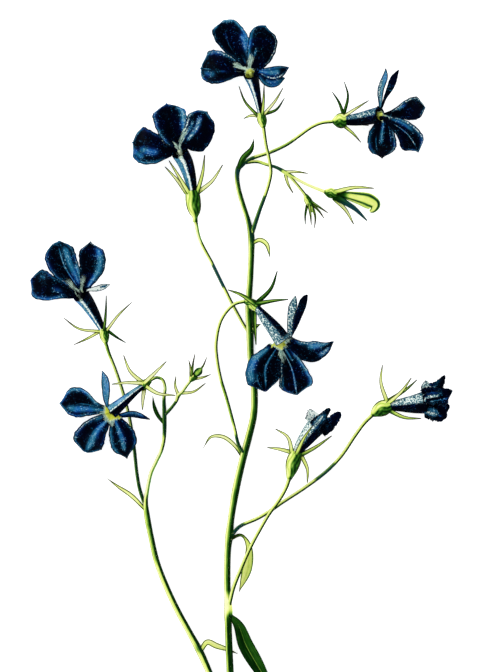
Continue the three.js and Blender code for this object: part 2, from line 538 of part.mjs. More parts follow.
// Thin blade along a midrib. lift is the rise of its edges; roll, in degrees, turns it about the midrib.
function blade({ route, width, outline, thickness, lift = 0, roll = 0, rows, columns }) {
  const curve = new THREE.CatmullRomCurve3(route, false, 'centripetal');
  const grid = [];
  for (let row = 0; row <= rows; row += 1) {
    const u = 1 - (1 - row / rows) ** TIP_CROWDING;
    const along = curve.getTangentAt(u);
    const flat = new THREE.Vector3().crossVectors(along, UP).normalize();
    const side = flat.applyAxisAngle(along, THREE.MathUtils.degToRad(roll));
    const over = new THREE.Vector3().crossVectors(side, along);
    const half = (width * OUTLINES[outline](u)) / 2;
    grid.push(Array.from({ length: columns + 1 }, (_, i) => {
      const v = (2 * i) / columns - 1;
      return curve.getPointAt(u)
        .addScaledVector(side, v * half)
        .addScaledVector(over, lift * half * v * v);
    }));
  }
  return slab(grid, thickness);
}

// Closed slab of even thickness about a grid of points, with the same triangles on both faces
function slab(grid, thickness) {
  const rows = grid.length - 1;
  const columns = grid[0].length - 1;
  const held = (index, most) => THREE.MathUtils.clamp(index, 0, most);
  const cell = (row, column) => grid[held(row, rows)][held(column, columns)];
  const upper = [];
  const lower = [];
  for (let row = 0; row <= rows; row += 1) {
    for (let column = 0; column <= columns; column += 1) {
      const down = cell(row + 1, column).clone().sub(cell(row - 1, column));
      const across = cell(row, column + 1).clone().sub(cell(row, column - 1));
      const normal = new THREE.Vector3().crossVectors(across, down).setLength(thickness / 2);
      upper.push(cell(row, column).clone().add(normal));
      lower.push(cell(row, column).clone().sub(normal));
    }
  }
  const under = upper.length;
  const at = (row, column) => row * (columns + 1) + column;
  const faces = [];
  const quad = (a, b, c, d) => faces.push(a, b, c, a, c, d);
  for (let row = 0; row < rows; row += 1) {
    for (let column = 0; column < columns; column += 1) {
      const a = at(row, column);
      const b = at(row, column + 1);
      const c = at(row + 1, column + 1);
      const d = at(row + 1, column);
      faces.push(a, b, c, a, c, d);
      faces.push(under + a, under + c, under + b, under + a, under + d, under + c);
    }
    quad(at(row + 1, 0), under + at(row + 1, 0), under + at(row, 0), at(row, 0));
    quad(at(row, columns), under + at(row, columns), under + at(row + 1, columns), at(row + 1, columns));
  }
  for (let column = 0; column < columns; column += 1) {
    quad(at(0, column), under + at(0, column), under + at(0, column + 1), at(0, column + 1));
    quad(at(rows, column + 1), under + at(rows, column + 1), under + at(rows, column), at(rows, column));
  }
  return solidOf([...upper, ...lower], faces);
}

const union = (solids) => solids.reduce((sum, solid) => sum.add(solid));

// The largest of a solid's separate bodies
function mainBody(solid) {
  return solid.decompose().reduce((best, body) => (body.volume() > best.volume() ? body : best));
}

function geometryOf(solid) {
  const { vertProperties, triVerts } = solid.getMesh();
  const geometry = new THREE.BufferGeometry();
  geometry.setAttribute('position', new THREE.BufferAttribute(vertProperties, 3));
  geometry.setIndex(new THREE.BufferAttribute(triVerts, 1));
  return geometry;
}

// Joins corners that all but touch, and drops the scraps that this frees
function welded(solid) {
  const merged = mergeVertices(geometryOf(solid).toNonIndexed(), WELD);
  return mainBody(new wasm.Manifold(new wasm.Mesh({
    numProp: 3,
    vertProperties: merged.attributes.position.array,
    triVerts: new Uint32Array(merged.index.array),
  })));
}

// Two sheets that meet at a corner or an edge are drawn apart there, each into its own side
function parted(geometry) {
  geometry.computeVertexNormals();
  const { position, normal } = geometry.attributes;
  const twins = new Map();
  for (let i = 0; i < position.count; i += 1) {
    const corner = [position.getX(i), position.getY(i), position.getZ(i)];
    const key = corner.map((value) => Math.round(value / WELD)).join();
    twins.set(key, [...(twins.get(key) ?? []), i]);
  }
  for (const group of twins.values()) {
    if (group.length > 1) {
      for (const i of group) {
        const inward = new THREE.Vector3().fromBufferAttribute(normal, i).multiplyScalar(-PARTING);
        const corner = new THREE.Vector3().fromBufferAttribute(position, i).add(inward);
        position.setXYZ(i, corner.x, corner.y, corner.z);
      }
    }
  }
  return geometry;
}

// Cuts the clearances away, trims at the surface and keeps the main body
function fitted(solid, clearances = []) {
  const cut = clearances.reduce((left, clearance) => left.subtract(clearance), solid);
  return mainBody(cut.trimByPlane([0, 0, 1], 0).simplify(FINEST));
}

const sprig = new THREE.Group();

function addPart(name, solid, material) {
  const placed = welded(solid.translate(SPRIG_CENTRE.clone().negate().toArray()));
  const mesh = new THREE.Mesh(parted(geometryOf(placed)), material);
  mesh.name = name;
  sprig.add(mesh);
}

const stemSides = (name) => (name.endsWith('_stem') ? STEM_SIDES : STALK_SIDES);
const stemClearance = (name) => tube(STEMS[name], stemSides(name), GAP);

// Narrow flat leaf or sepal through a root, a middle and a tip
function bract(points) {
  return blade({
    route: points.map(toVector),
    width: SEPAL_WIDTH,
    outline: 'sepal',
    thickness: SEPAL_THICKNESS,
    ...GRIDS.sepal,
  });
}

// Petal from the mouth's rim: its root is sunk down the tube wall
function petal(route, { tip, width, arch, bend = 0, roll = 0 }, outline, grid) {
  const path = follow(route);
  const mouth = path.curve.getPoint(1);
  const along = path.curve.getTangent(1);
  const end = toVector(tip);
  const outward = end.clone().sub(mouth);
  outward.addScaledVector(along, -outward.dot(along)).setLength(path.radiusAt(1) - TUBE_WALL / 2);
  const rim = mouth.clone().add(outward);
  const root = rim.clone().addScaledVector(along, -PETAL_ROOT);
  const leftward = new THREE.Vector3().crossVectors(UP, end.clone().sub(rim)).setLength(bend);
  const middle = rim.clone().add(end).divideScalar(2).addScaledVector(UP, arch * SPRING).add(leftward);
  return blade({
    route: [root, rim, middle, end],
    width,
    outline,
    thickness: PETAL_THICKNESS,
    lift: PETAL_CUP,
    roll,
    ...grid,
  });
}

// Sepal from a calyx's rim, on the side where its first point lies
function sepal(route, [side, middle, tip]) {
  const path = follow(route);
  const along = path.curve.getTangent(1);
  const out = toVector(side).sub(path.curve.getPoint(1));
  out.addScaledVector(along, -out.dot(along)).setLength(path.radiusAt(1) - CALYX_WALL / 2);
  const root = path.curve.getPoint(1).add(out).addScaledVector(along, -SEPAL_ROOT);
  return bract([root.toArray(), middle, tip]);
}

// Calyx cup with its sepals, cut clear of the corolla in it
function calyx(spec, clearances) {
  const body = cup(spec.calyx, CALYX_WALL, CALYX_PIT, BLOOM_SIDES);
  return fitted(union([body, ...spec.sepals.map((points) => sepal(spec.calyx, points))]), clearances);
}

// The anther column leaves the middle of the tube and stands a little out of its mouth
function antherRoute({ tube: route }) {
  const { curve } = follow(route);
  const mouth = curve.getPoint(1);
  const out = mouth.clone().addScaledVector(curve.getTangent(1), ANTHER_OUT);
  const inside = [ANTHER_START, (1 + ANTHER_START) / 2].map((t) => curve.getPoint(t));
  return [...inside, mouth, out].map((point) => [...point.toArray(), ANTHER_RADIUS]);
}

// The stem or stalk that ends at each calyx
const CARRIERS = {
  top: 'stalk_top',
  upper_left: 'stalk_upper_left',
  upper_right: 'stalk_upper_right',
  left: 'stalk_left',
  lower_left: 'left_stem',
  centre: 'stalk_centre',
  right: 'stalk_right',
  inner: 'stalk_inner',
  green: 'bud_stalk',
  small: 'bud_stalk',
  round: 'round_bud_stalk',
};
const BLOOMS = { ...FLOWERS, ...CLOSING, ...BUDS };

// Stems, each cut clear of its parent and of the calyx that it carries
for (const [name, route] of Object.entries(STEMS)) {
  if (name !== 'small_bud_stalk') {
    const carried = Object.keys(BLOOMS).filter((key) => CARRIERS[key] === name);
    const clearances = [
      ...(PARENTS[name] ?? []).map(stemClearance),
      ...carried.map((key) => tube(BLOOMS[key].calyx, BLOOM_SIDES, GAP)),
    ];
    const pieces = [tube(route, stemSides(name))];
    if (name === 'bud_stalk') {
      pieces.push(tube(STEMS.small_bud_stalk, STALK_SIDES), ...BUD_BRACTS.map(bract));
    }
    if (name === 'round_bud_stalk') {
      pieces.push(...ROUND_BUD_BRACTS.map(bract));
    }
    addPart(name, fitted(union(pieces), clearances), STEM_GREEN);
  }
}

// Leaves, each cut clear of the stem that carries it
for (const [name, leaf] of Object.entries(LEAVES)) {
  const solid = blade({
    ...leaf,
    ...GRIDS.leaf,
    route: leaf.route.map(toVector),
    thickness: LEAF_THICKNESS,
    lift: LEAF_CUP,
  });
  addPart(name, fitted(solid, [stemClearance(leaf.stem)]), LEAF_TONES[leaf.tone]);
}

// Open flowers
for (const [name, flower] of Object.entries(FLOWERS)) {
  const anthers = antherRoute(flower);
  addPart(`calyx_${name}`, calyx(flower, [tube(flower.tube, BLOOM_SIDES, GAP)]), CALYX_GREEN);
  const petals = flower.petals.map((spec) => petal(flower.tube, spec, 'petal', GRIDS.petal));
  const lips = flower.lips.map((spec) => petal(flower.tube, spec, 'lip', GRIDS.lip));
  const corolla = union([cup(flower.tube, TUBE_WALL, TUBE_PIT, BLOOM_SIDES), ...petals, ...lips]);
  addPart(`corolla_${name}`, fitted(corolla, [tube(anthers, STALK_SIDES, GAP)]), PETAL_BLUE);
  addPart(`anthers_${name}`, tube(anthers, STALK_SIDES), ANTHER_NAVY);
}

// Closing flowers
for (const [name, flower] of Object.entries(CLOSING)) {
  addPart(`calyx_${name}`, calyx(flower, [tube(flower.tube, BLOOM_SIDES, GAP)]), CALYX_GREEN);
  const petals = flower.petals.map((spec) => petal(flower.tube, spec, 'petal', GRIDS.closing_petal));
  const corolla = union([cup(flower.tube, TUBE_WALL, TUBE_PIT, BLOOM_SIDES), ...petals]);
  addPart(`corolla_${name}`, fitted(corolla), PETAL_BLUE);
}

// Buds
for (const [name, bud] of Object.entries(BUDS)) {
  addPart(`calyx_${name}_bud`, calyx(bud, [tube(bud.body, BLOOM_SIDES, GAP)]), CALYX_GREEN);
  addPart(`${name}_bud`, fitted(tube(bud.body, BLOOM_SIDES)), BUD_GREEN);
}

export default sprig;
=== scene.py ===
"""A cut sprig of blue lobelia lying on a pale table, seen from straight above.

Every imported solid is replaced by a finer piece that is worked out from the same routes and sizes,
in millimetres with +Z up. Markings come from values painted by rule along and across each piece.
"""

import math

import bpy
import numpy as np
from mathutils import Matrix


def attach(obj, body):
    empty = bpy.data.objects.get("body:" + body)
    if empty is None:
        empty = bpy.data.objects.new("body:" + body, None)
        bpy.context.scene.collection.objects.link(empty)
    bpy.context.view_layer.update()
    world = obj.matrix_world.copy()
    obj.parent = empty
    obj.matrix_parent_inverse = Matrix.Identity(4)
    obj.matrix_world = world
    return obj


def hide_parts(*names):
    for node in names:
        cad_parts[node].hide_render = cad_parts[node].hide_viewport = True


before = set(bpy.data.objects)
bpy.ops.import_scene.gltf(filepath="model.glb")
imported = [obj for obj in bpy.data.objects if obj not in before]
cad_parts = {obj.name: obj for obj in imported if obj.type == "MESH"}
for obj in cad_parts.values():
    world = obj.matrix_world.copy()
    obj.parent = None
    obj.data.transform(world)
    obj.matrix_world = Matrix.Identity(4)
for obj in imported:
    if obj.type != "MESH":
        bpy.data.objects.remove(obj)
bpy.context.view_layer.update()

# Sizes that the part's solids share
MM = 0.001
SPRIG_CENTRE = np.array([0.142, -11.424, 0.0])
PETAL_ROOT = 0.8
SEPAL_ROOT = 0.6
SEPAL_WIDTH = 1.1
PETAL_CUP = 0.18
LEAF_CUP = 0.25
POINT = 0.07
TIP_CROWDING = 1.4
TUBE_WALL = 0.45
TUBE_PIT = 0.45
CALYX_WALL = 0.3
CALYX_PIT = 0.3
ANTHER_RADIUS = 0.42
ANTHER_START = 0.5
ANTHER_OUT = 0.5
STEM_LEVEL = 1
SPRING = 1.45
UP = np.array([0.0, 0.0, 1.0])

# Finer sizes of the dressed pieces: full thickness in the middle and at the edge
PETAL_THICKNESS = (0.34, 0.14)
SEPAL_THICKNESS = (0.42, 0.16)
LEAF_THICKNESS = (0.5, 0.18)
REST_LEVEL = 0.02  # how far the thin edge of a blade stays above the table
SEPAL_CUP = 0.12
BRACT_WIDTH = 0.8
GREENEST_WIDER = 1.35  # how much wider a sepal of tone 1 is than its fellows
STALK_REACH = 0.35  # how far a stem's end runs on into what it carries
HAIRS_PER_MM = 1.2
HAIRY = (0.05, 0.97)  # the part of a stem's length that has hairs
HAIR_LENGTH = 0.3
HAIR_RADIUS = 0.035
HAIR_ROOT = 0.85  # where a hair starts, as a share of the stem's radius
HAIR_LEAN = 0.2  # how far a hair's tip leans along the stem at most

# Rows along and columns across a blade; rings a span and sides of a tube
PETAL_GRID = (64, 36)
LIP_GRID = (40, 18)
SEPAL_GRID = (26, 8)
LEAF_GRID = (56, 14)
STEM_DETAIL = (12, 24)
BLOOM_DETAIL = (16, 40)
BUD_DETAIL = (16, 32)
ANTHER_DETAIL = (10, 20)
PIT_ROWS = 10

# Ribs round a piece: how many, and their depth as a share of its radius
STEM_RIBS = (5, 0.1)
CALYX_RIBS = (10, 0.12)
TUBE_RIBS = (5, 0.08)
BUD_RIBS = (5, 0.08)
ANTHER_RIBS = (5, 0.15)

# Open and closing petals: how jagged the outline is, and the depths of the crease and of the edge's waves
OPEN = (0.014, 0.07, 0.07)
CLOSING = (0.06, 0.2, 0.3)
SEPAL_CREASE = 0.25
LEAF_CREASE = 0.3

# Drawn edges: the length that the stations are spread over, how much fuller the outer half is than drawn,
# and the step between the values that are averaged to round the corners
STATION_REACH = 15
FULLER = 0.05
ROUNDING_STEP = 0.035

# End of a blade: how far its corners are drawn back, as a share of its half width, and a point's half width
CORNERS_BACK = 0.3
POINT_SPREAD = 0.22

# Painted light and shade: the side of a piece that faces the upper left, where the key lamp stands, is
# painted paler and the far side darker. This points to it. A tube whose sides face it by less than one part
# in the contrast below is painted more evenly.
PAINTED_LIGHT_TOWARD = np.array([-0.91, 0.41, 0.0])
PAINTED_LIGHT_CONTRAST = 2.5

# Painting
LINE_INSET = 0.4  # from a petal's edge to the middle of the pale painted highlight line inside it
LINE_SPREAD = 0.17
PALE_EYE = 0.64  # value of an eye's pale part, where its yellow-green part is 1
EYE_ON_RIM = 0.7  # how much of the throat's colour a tube's rim takes on
SPILL_WIDER = 1.4  # how much wider a tube's painted highlight streak is where it spills into the throat
PAINTED_SHADE_SIDE = 0.96  # painted shade: greenness of a stem's side away from the lamp


def spring(table):
    """The same table with the height of every point, which is a list, sprung as in the part"""
    if isinstance(table, dict):
        return {key: spring(value) for key, value in table.items()}
    if isinstance(table, tuple):
        return tuple(spring(value) for value in table)
    if isinstance(table, list) and isinstance(table[0], (list, tuple, dict)):
        return [spring(value) for value in table]
    if isinstance(table, list) and table[2] > STEM_LEVEL:
        return [*table[:2], STEM_LEVEL + (table[2] - STEM_LEVEL) * SPRING, *table[3:]]
    return table


# Petal or upper lip: the tip, how far its middle arches up and bends to the left, and its roll.
# left and right are the distances of its edges from the midrib at these shares of its length, seen from
# above and looking from the root to the tip. A lip with a width instead has even edges.
# point: place across and length of a small point on its end.
# The rest is where painted light lies on it. rims: painted highlight along the left edge, tip and right edge.
# lines: the same for a thin pale painted highlight line just inside the edge. streaks: painted highlight
# streaks, with place across, half width, start, end, strength and paleness.
# A paleness below zero takes paleness away.
# eye: strength, place across and length of the pale base, and how far from the root it is yellow-green.
# pale: how pale and hatched the whole blade is, as a painted highlight. body: how strongly it is painted lit
# away from its painted highlights.
STATIONS = (0, 0.12, 0.3, 0.5, 0.7, 0.86, 0.95, 1)
PLAIN = {
    "rims": (0.3, 0.5, 0.3), "lines": (0, 0, 0), "eye": (0, 0, 1, 0), "pale": 0, "body": 0,
    "streaks": (), "point": (0, 0),
}


def lobe(tip, arch, bend=0, roll=0, **look):
    return {**PLAIN, **look, "tip": tip, "arch": arch, "bend": bend, "roll": roll}


# Painted highlight streak along each corolla tube: its place from the far side, -1, to the side towards the
# lamp, 1, its half
# width and paleness. near: how strongly the side towards the lamp is painted lit. eye: how yellow-green the
# throat is. spill: how far the painted highlight streak runs into the throat, in the eye's colour. collar:
# how pale the tube gets all round its mouth.
def tube_marks(place, spread, pale, near=0.85, eye=0, spill=0, collar=0):
    return {
        "place": place, "spread": spread, "pale": pale, "near": near, "eye": eye, "spill": spill,
        "collar": collar,
    }


# Routes are points of x, y and height, with the radius as a fourth value where the piece is round.
STEMS = spring({
    "main_stem": [
        [-2.5, -101.8, 0.95, 0.95], [-2.5, -95, 1, 0.95], [-2.5, -89, 1.4, 0.95], [-2.5, -84, 1.9, 0.95],
        [-2.75, -78.5, 2.3, 0.95], [-2.95, -72, 2.2, 0.95], [-3, -68.5, 2, 1.15], [-3.1, -65.5, 1.8, 0.9],
        [-3.25, -60, 1.5, 0.88], [-3.05, -53, 1.1, 0.88], [-2.75, -50, 0.95, 1.05], [-2.3, -46, 0.9, 0.88],
        [-1.1, -38.5, 0.9, 0.98], [0.6, -31, 0.88, 0.96], [2.2, -25, 0.86, 0.94], [3.4, -19.5, 0.84, 0.92],
        [3.5, -13, 0.82, 0.9], [2.6, -4.75, 0.8, 0.88], [2.45, 0.75, 0.82, 0.98], [2.1, 7.5, 0.78, 0.85],
        [2.5, 14, 0.74, 0.8], [2.8, 21, 0.72, 0.8], [2.75, 25, 0.7, 0.88], [2.1, 28.5, 0.66, 0.66],
        [0.5, 33.5, 0.62, 0.64], [-0.5, 37.3, 0.6, 0.62], [-0.75, 40.2, 0.6, 0.62], [-0.4, 42, 0.62, 0.72],
        [0.5, 42.9, 0.65, 0.7],
    ],
    "left_stem": [
        [-2.5, -95, 1, 0.85], [-5.2, -89.5, 0.9, 0.85], [-7.5, -84.5, 0.85, 0.85], [-10, -79, 0.85, 0.95],
        [-12.8, -73.8, 0.8, 0.82], [-15.75, -68.4, 0.76, 0.8], [-18.5, -62.5, 0.74, 0.78],
        [-20.75, -56.6, 0.72, 0.76], [-22.25, -50.2, 0.7, 0.74], [-23.25, -45, 0.68, 0.78],
        [-23.6, -41.5, 0.62, 0.62], [-23.2, -38.5, 0.56, 0.52], [-22.3, -34.3, 0.52, 0.5],
        [-21, -31.4, 0.5, 0.5], [-19.7, -28.6, 0.5, 0.5], [-19, -25.5, 0.5, 0.5], [-18.9, -20.2, 0.55, 0.58],
        [-19, -15.5, 0.8, 0.45], [-18.75, -12.8, 1.3, 0.42], [-19.4, -10.9, 2.1, 0.42],
        [-20.8, -10.4, 2.9, 0.42], [-22.3, -11.05, 3.6, 0.42],
    ],
    "stalk_top": [
        [2.75, 25, 0.8, 0.6], [3.9, 28.5, 1.2, 0.56], [5, 31.75, 1.8, 0.52], [6.3, 35.2, 2.5, 0.48],
        [7.25, 38.3, 2.75, 0.46], [7.7, 41, 2.8, 0.45], [7.25, 44.2, 2.8, 0.45], [6.5, 47.5, 2.8, 0.45],
        [5.85, 51.9, 2.95, 0.5],
    ],
    "stalk_upper_left": [
        [2.45, 0.75, 0.7, 0.45], [1.3, 2.1, 0.6, 0.45], [-0.9, 6, 0.55, 0.44], [-2.5, 9, 0.5, 0.44],
        [-4.8, 13.7, 0.5, 0.44], [-6.9, 18, 0.6, 0.44], [-10.1, 24.2, 1.4, 0.45], [-11, 28.2, 2.4, 0.5],
    ],
    "stalk_upper_right": [
        [0.5, 42.9, 0.65, 0.55], [3, 44.4, 0.7, 0.5], [5.25, 45.2, 0.75, 0.48], [7.75, 46, 0.8, 0.46],
        [11.75, 47.9, 1, 0.45], [14.75, 50, 1.4, 0.45], [17.75, 52.1, 2, 0.45], [20.4, 53.2, 2.6, 0.46],
        [23, 53.5, 2.9, 0.5],
    ],
    "bud_stalk": [
        [1.2, 43.3, 0.6, 0.44], [4.2, 43.6, 0.55, 0.44], [6.6, 42.9, 0.55, 0.42], [9.2, 42.1, 0.6, 0.42],
        [11.5, 40.8, 0.7, 0.55], [14, 39.3, 1, 0.4], [17.3, 37.6, 1.6, 0.4], [21, 36.1, 2.4, 0.45],
    ],
    "small_bud_stalk": [[11.5, 40.8, 0.7, 0.4], [13.6, 38.6, 0.9, 0.36], [16.2, 35.4, 1.4, 0.4]],
    "stalk_left": [
        [-23.4, -43.2, 0.6, 0.5], [-25, -38.6, 0.55, 0.48], [-25.8, -34.2, 0.5, 0.46],
        [-26.4, -28.5, 0.48, 0.45], [-27.5, -21.2, 0.46, 0.44], [-29.2, -14.4, 0.46, 0.44],
        [-31.1, -8.6, 0.7, 0.44], [-32.7, -4.4, 1.7, 0.45], [-33.5, -1.8, 2.5, 0.5],
    ],
    "stalk_centre": [
        [1.2, -29.6, 0.95, 0.45], [-0.3, -27.3, 1.8, 0.45], [-1.5, -22.5, 1.7, 0.44], [-3.4, -15.5, 1, 0.44],
        [-4.9, -10.5, 0.7, 0.44], [-5.8, -5.6, 0.6, 0.44], [-6, -1.8, 0.8, 0.44], [-5, 3.3, 1.4, 0.44],
        [-3.3, 6.2, 2.1, 0.44], [-1.2, 8.05, 2.7, 0.45], [1.1, 8.65, 3.2, 0.5],
    ],
    "stalk_right": [
        [-2.75, -51.2, 0.8, 0.52], [-1.4, -48.9, 0.6, 0.5], [0.2, -47.4, 0.52, 0.48],
        [4.25, -45.6, 0.5, 0.48], [7.5, -43.7, 0.5, 0.48], [10.5, -41.6, 0.5, 0.48], [16, -38, 0.5, 0.48],
        [21.6, -33.8, 0.7, 0.48], [25.3, -29.9, 1.2, 0.48], [28.6, -25, 1.8, 0.48], [31, -21.7, 2.4, 0.5],
        [32.9, -19.8, 2.7, 0.55],
    ],
    "stalk_inner": [
        [-3, -68.5, 2, 0.55], [-1.7, -63, 2.5, 0.52], [0.25, -58, 2.4, 0.5], [2.5, -52.9, 2.3, 0.48],
        [4.9, -48.4, 2.2, 0.48], [7.5, -44, 2.2, 0.48], [9.7, -41, 2.3, 0.48], [11.4, -38, 2.6, 0.5],
        [12.2, -35.8, 2.9, 0.55],
    ],
    "round_bud_stalk": [
        [-18.9, -19.8, 0.55, 0.45], [-17.2, -18, 0.55, 0.42], [-15.9, -16.2, 0.55, 0.42],
        [-15.4, -14.8, 0.65, 0.55], [-14.5, -14, 0.8, 0.4], [-13.5, -12.6, 1.1, 0.4],
        [-12.5, -11.3, 1.4, 0.42],
    ],
})

# Flowers have a calyx, sepals, a tube, petals and lips. dust is how far the anthers are dusted with
# yellow-green pollen. A sepal is its greenness, from 0, pale yellow, to 1, darkest green, and its route,
# whose first point only shows on which side of the calyx it grows. The last two flowers are closing.
FLOWERS = {}
FLOWERS["top"] = dict(
    calyx=[[5.8, 52, 2.95, 0.6], [5.55, 53.6, 3.1, 1.2], [5.05, 55.7, 3.3, 1.1]],
    sepals=[
        (0.62, [4.5, 55.7, 3.6], [1.3, 58.3, 4.3], [-0.3, 62.3, 4]),
        (0.12, [4.3, 55.2, 3.4], [2.6, 54.9, 3.6], [0.9, 54.2, 3]),
        (0.4, [5.4, 55.7, 3.9], [5.9, 59.2, 4.2], [6, 62.5, 4]),
        (0.06, [5.9, 55.6, 3.6], [8.8, 58.6, 3.9], [10.7, 61.8, 3.2]),
        (0.8, [6, 54.9, 3.3], [9, 56.4, 3.2], [11.1, 59.3, 2.6]),
    ],
    sepal_width=0.85,
    tube=[[5.1, 55.2, 3.3, 0.6], [4.4, 58.8, 3.5, 0.95], [3.4, 62.8, 4.2, 1.5], [2.6, 65.2, 6, 1.9]],
    marks=tube_marks(0.45, 0.24, 1.5, 0.75, eye=1),
    dust=0.95,
    petals=[
        lobe(
            [-2.9, 78.8, 4.4], 1.6, 1.5, point=(-0.6, 0.25), rims=(0.5, 1, 0.95), eye=(0.1, 0.6, 2.2, 0.9),
            left=(0.7, 0.7, 1, 2.5, 4.15, 4, 3.2, 1.9), right=(0.6, 1, 2.8, 4.5, 3.9, 3, 2.25, 1.3),
            streaks=[
                (-0.25, 0.03, 0.4, 0.8, 0.9, 0), (0.72, 0.22, 0.3, 0.72, 0.8, 0),
                (0.3, 0.2, 0.12, 0.3, 0.6, 0),
            ],
        ),
        lobe(
            [6.3, 77.3, 4.8], 1.4, -0.6, point=(0.9, 0.1), rims=(0.9, 0.8, 0.25), lines=(0.2, 0.3, 0.7),
            eye=(0.9, -0.6, 5.4, 0.9), left=(1.3, 2.1, 2.8, 3.6, 3.5, 3.2, 2.8, 1.8),
            right=(1.4, 2.1, 3.1, 3.6, 3.4, 1.9, 0.6, 0.15),
            streaks=[(-0.35, 0.12, 0.3, 0.5, 0.75, 0), (-0.6, 0.16, 0.2, 0.4, 0.7, 0)],
        ),
        lobe(
            [-9.7, 66.9, -0.15], 2.2, 0.1, point=(0, 0.45), rims=(0.55, 0.9, 0.9), lines=(0.1, 0.2, 1),
            eye=(0.9, 0.45, 5, 0.9), left=(1, 1.1, 2.45, 3.75, 3.2, 2.8, 2.1, 1),
            right=(1.4, 2.5, 4, 4.8, 4.5, 3.4, 2.4, 1.1),
            streaks=[
                (-0.35, 0.34, 0.55, 0.95, 0.62, 0), (0, 0.03, 0.72, 0.97, 0.9, 0),
                (-0.1, 0.1, 0.35, 0.55, 0.6, 0),
            ],
        ),
    ],
    lips=[
        lobe(
            [12.2, 66.8, 5.4], 0.4, -0.9, width=3.3, rims=(0.85, 0.5, 0.7), lines=(0, 0, 0.9),
            streaks=[(-0.1, 0.6, 0.08, 0.75, 0.85, 0)],
        ),
        lobe(
            [11.2, 64.2, 4.6], 0.1, -1.2, width=3.7, rims=(0.3, 0.7, 0.85),
            streaks=[(0.3, 0.4, 0.4, 0.95, 0.75, 0)],
        ),
    ],
)

FLOWERS["upper_left"] = dict(
    calyx=[
        [-11.1, 28.4, 2.4, 0.6], [-11.2, 29.6, 2.45, 0.7], [-11.3, 30.6, 2.5, 1.3], [-11.45, 31.9, 2.6, 1.75],
        [-11.7, 34, 2.8, 1.9], [-11.9, 36.4, 3, 1.7],
    ],
    sepals=[
        (0.15, [-12.8, 36.2, 3.2], [-15.7, 38.9, 4], [-18.7, 42.2, 3.4]),
        (0.2, [-12.5, 36.8, 3.6], [-15.4, 40, 4.4], [-17.7, 43.7, 4.2]),
        (0.35, [-10.9, 36.6, 3.6], [-9.3, 40.7, 4.3], [-8.8, 45.1, 4]),
        (0.12, [-10.6, 35.9, 3.2], [-6.9, 38.7, 3.8], [-4.3, 42.7, 3]),
        (0.4, [-11.9, 36.4, 1.9], [-13.4, 39.8, 1.3], [-14.6, 43.2, 0.8]),
    ],
    tube=[[-11.8, 35.8, 3, 1.1], [-12.4, 39, 3.4, 1.55], [-13.6, 43, 4.3, 2], [-15, 45.7, 5.93, 2.15]],
    marks=tube_marks(0.2, 0.22, 1.6, spill=0.66),
    dust=0.55,
    petals=[
        lobe(
            [-26.8, 48.3, -0.15], 2.3, 0.3, point=(0, 0.6), rims=(0.8, 1, 0.6), eye=(0.95, 0.75, 5, 0),
            left=(1.2, 1.8, 3.7, 4.6, 3.9, 2.4, 1.3, 0.2), right=(1.5, 2.4, 3.3, 4.1, 4.4, 4.1, 3.1, 0.5),
            streaks=[
                (-0.25, 0.3, 0.3, 0.75, 0.72, 0), (-0.6, 0.26, 0.5, 0.9, 0.7, 0),
                (0.2, 0.04, 0.7, 0.85, 0.8, 0.3),
            ],
        ),
        lobe(
            [-18.3, 57.7, 4.6], 1.25, 0.7, point=(0, 0.45), rims=(0.8, 0.85, 1), lines=(0.5, 0.6, 1),
            eye=(0.3, 0.8, 3, 0), left=(1.2, 1.7, 2.9, 3.5, 3.7, 3.5, 2.5, 0.4),
            right=(1, 1.8, 3.2, 4.2, 4.4, 4, 2.9, 0.5),
            streaks=[(0.85, 0.26, 0.25, 0.98, 0.9, 0)],
        ),
        lobe(
            [-8.3, 55.9, 4.6], 1.5, -1.2, point=(0.9, 0.3), rims=(0.75, 0.85, 0.3), lines=(1.3, 0.5, 0.2),
            eye=(0.75, -0.8, 6.5, 0), left=(1.3, 2.1, 3.4, 4.2, 4.2, 3.9, 3.1, 1.9),
            right=(1.2, 1.8, 4, 3.6, 2.85, 1.55, 0.55, 0.12),
            streaks=[(-0.28, 0.17, 0.2, 0.86, 0.9, 0.6), (-0.62, 0.14, 0.1, 0.7, 0.7, 0)],
        ),
    ],
    lips=[
        lobe([-19.2, 53, 2.2], -1.2, width=2.2),
        lobe([-11.6, 53.6, 2.4], -1.2, width=2.2),
    ],
)

